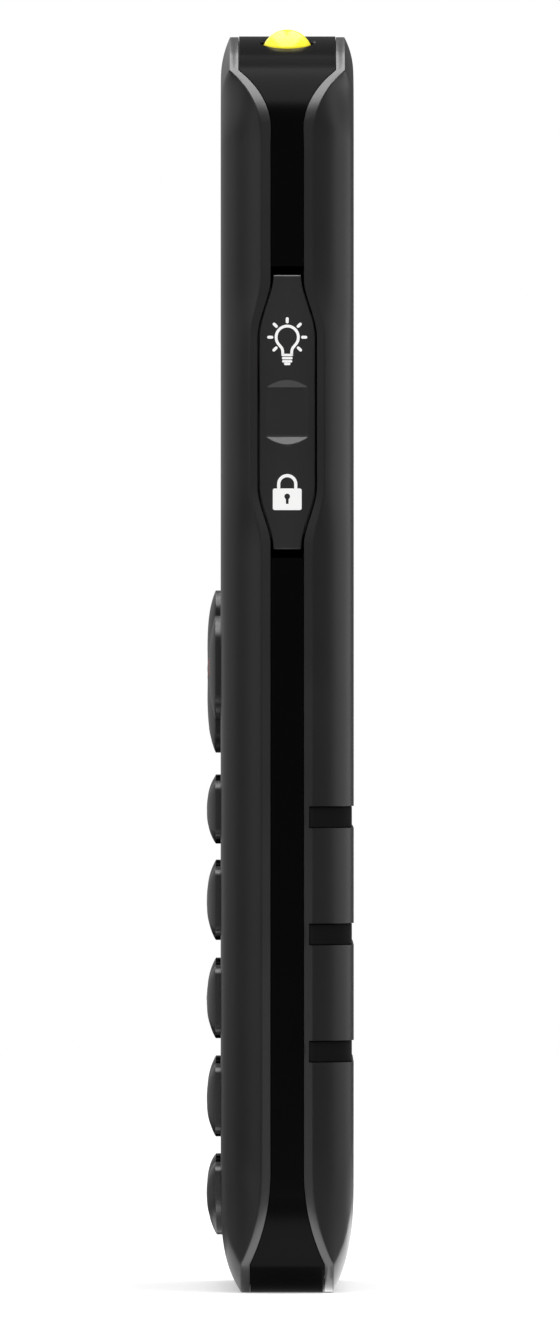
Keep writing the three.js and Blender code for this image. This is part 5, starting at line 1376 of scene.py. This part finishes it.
# The bar's rounded face and its wall: how far behind the face, and how much the outline grows
VOLUME_LEVELS = [(0, -0.0003), (0.00004, -0.00012), (0.00015, 0), (VOLUME_THICK, 0)]
PUSHER_Z = 0.0065
PUSHER_HALF = 0.0008
rocker_corner = VOLUME_HALF * ROUND_END
rocker_shape = rounded_rectangle(2 * VOLUME_HALF, 2 * VOLUME_HALF_LENGTH, rocker_corner, 0.0002)
rocker_outlines = [grown(rocker_shape, by) + [0, volume_z] for _, by in VOLUME_LEVELS]
rocker = side_prism("rocker_bar", rocker_outlines, [VOLUME_FACE + x for x, _ in VOLUME_LEVELS])
dressed(rocker, slider_plastic, "volume_rocker", "slider_grey")
for way, name in ((-1, "rocker_lower_pusher"), (1, "rocker_upper_pusher")):
    pusher = box_between(
        name,
        VOLUME_FACE + VOLUME_THICK / 2,
        volume_high.x,
        -PUSHER_HALF,
        PUSHER_HALF,
        volume_z + way * PUSHER_Z - PUSHER_HALF,
        volume_z + way * PUSHER_Z + PUSHER_HALF,
    )
    dressed(pusher, slider_plastic, "volume_rocker", "slider_grey")
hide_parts("volume_rocker")
SIGN_HALF = 0.0006
SIGN_STROKE_HALF = 0.00011
SIGN_DEPTH = 0.0003


def sign_bar(name, z, half_y, half_z):
    """A bar of ink let into the rocker's face, and a hair proud of it."""
    return box_between(
        name, VOLUME_FACE - INK_RISE, VOLUME_FACE + SIGN_DEPTH, -half_y, half_y, z - half_z, z + half_z
    )


for name, way in (("plus", 1), ("minus", -1)):
    z = volume_z + way * PUSHER_Z
    sign = sign_bar(f"volume_{name}", z, SIGN_HALF, SIGN_STROKE_HALF)
    if name == "plus":
        combined(sign, "UNION", sign_bar("upright", z, SIGN_STROKE_HALF, SIGN_HALF))
    dressed(sign, ink["white"], "volume_rocker", "slider_grey")

# Emergency key: a red plastic key with a rounded edge, set just below the surface of the back,
# with its word in white ink. Its flange keeps it in behind the battery cover.
SOS_ROUND = 0.0002
SOS_WORD_SIZE = 0.0052
SOS_FACE = sos_high.y - MIDDLE_Y
SOS_BACK = sos_low.y - MIDDLE_Y
SOS_FLANGE_THICK = 0.0006
EMERGENCY_RED = (0.42, 0.012, 0.01)
sos_levels = [
    (SOS_BACK, SOS_FLANGE),
    (SOS_BACK + SOS_FLANGE_THICK, SOS_FLANGE),
    (SOS_BACK + SOS_FLANGE_THICK, 0),
    (SOS_FACE - SOS_ROUND, 0),
    (SOS_FACE - SOS_ROUND * ROUND_MIDDLE, -SOS_ROUND * ROUND_MIDDLE),
    (SOS_FACE, -SOS_ROUND),
]
sos_cap = prism("sos_key_cap", sos_shape, sos_levels, sos_x, sos_z)
red_plastic = moulded("red_key", EMERGENCY_RED, 0.32, spread=0.06)
dressed(sos_cap, red_plastic, "sos_key", "emergency_red", "sos_key")
sos_art = lettering("SOS", SOS_WORD_SIZE, sos_x, sos_z, SOS_FACE, facing=1)
sos_mark = inked("sos_key_word", sos_art, sos_cap, (0, INK_RISE, 0))
dressed(sos_mark, ink["white"], "sos_key", "emergency_red")

# Works: the board and what is on it, the battery and the small parts, all shown by the frame's
# own solids, each with the finish of the real thing
METAL_SURFACE = {"grain": 0.0002, "depth": 0.000006, "cloud": 0.004, "metallic": 1}
METALS = {
    "bright_steel": ((0.55, 0.55, 0.56), 0.28),
    "brushed_nickel": ((0.42, 0.41, 0.39), 0.38),
    "gold_plate": ((0.72, 0.5, 0.18), 0.25),
}
BOARD_GREEN = (0.012, 0.09, 0.03)
BOARD_SURFACE = {"grain": 0.0006, "depth": 0.00003, "cloud": 0.002, "spread": 0.5}
works = {name: moulded(name, *look, **METAL_SURFACE) for name, look in METALS.items()}
works |= {
    "solder_mask": moulded("solder_mask", BOARD_GREEN, 0.35, **BOARD_SURFACE),
    "silicone": moulded("grey_silicone", (0.3, 0.31, 0.33), 0.6, grain=0.0004, depth=0.00001),
    "white_sheet": moulded("white_sheet", (0.7, 0.7, 0.68), 0.4),
    "black_plastic": moulded("black_plastic", (0.01, 0.01, 0.011), 0.45),
    "battery_wrap": moulded("battery_wrap", (0.09, 0.1, 0.115), 0.4, cloud=0.02),
}
SCREWS = ["screw_1", "screw_2", "screw_3", "screw_4", "screw_5", "screw_6"]
SWITCHES = ["slide_switch", "switch_lever", "volume_switch_1", "volume_switch_2"]
FINISHED_NODES = {
    "solder_mask": ["main_board"],
    "silicone": ["keypad_mat"],
    "white_sheet": ["dome_sheet", "torch_led"],
    "bright_steel": ["lcd_module", "shield_can", "sim_holder", "usb_socket", *SCREWS],
    "brushed_nickel": ["memory_card_holder", "vibration_motor", *SWITCHES],
    "gold_plate": ["microphone", "battery_contacts", "antenna"],
    "black_plastic": ["earpiece", "loudspeaker", "sos_switch"],
    "battery_wrap": ["battery"],
}
for finish, nodes in FINISHED_NODES.items():
    for node in nodes:
        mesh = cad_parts[node].data
        mesh.materials.clear()
        mesh.materials.append(works[finish])
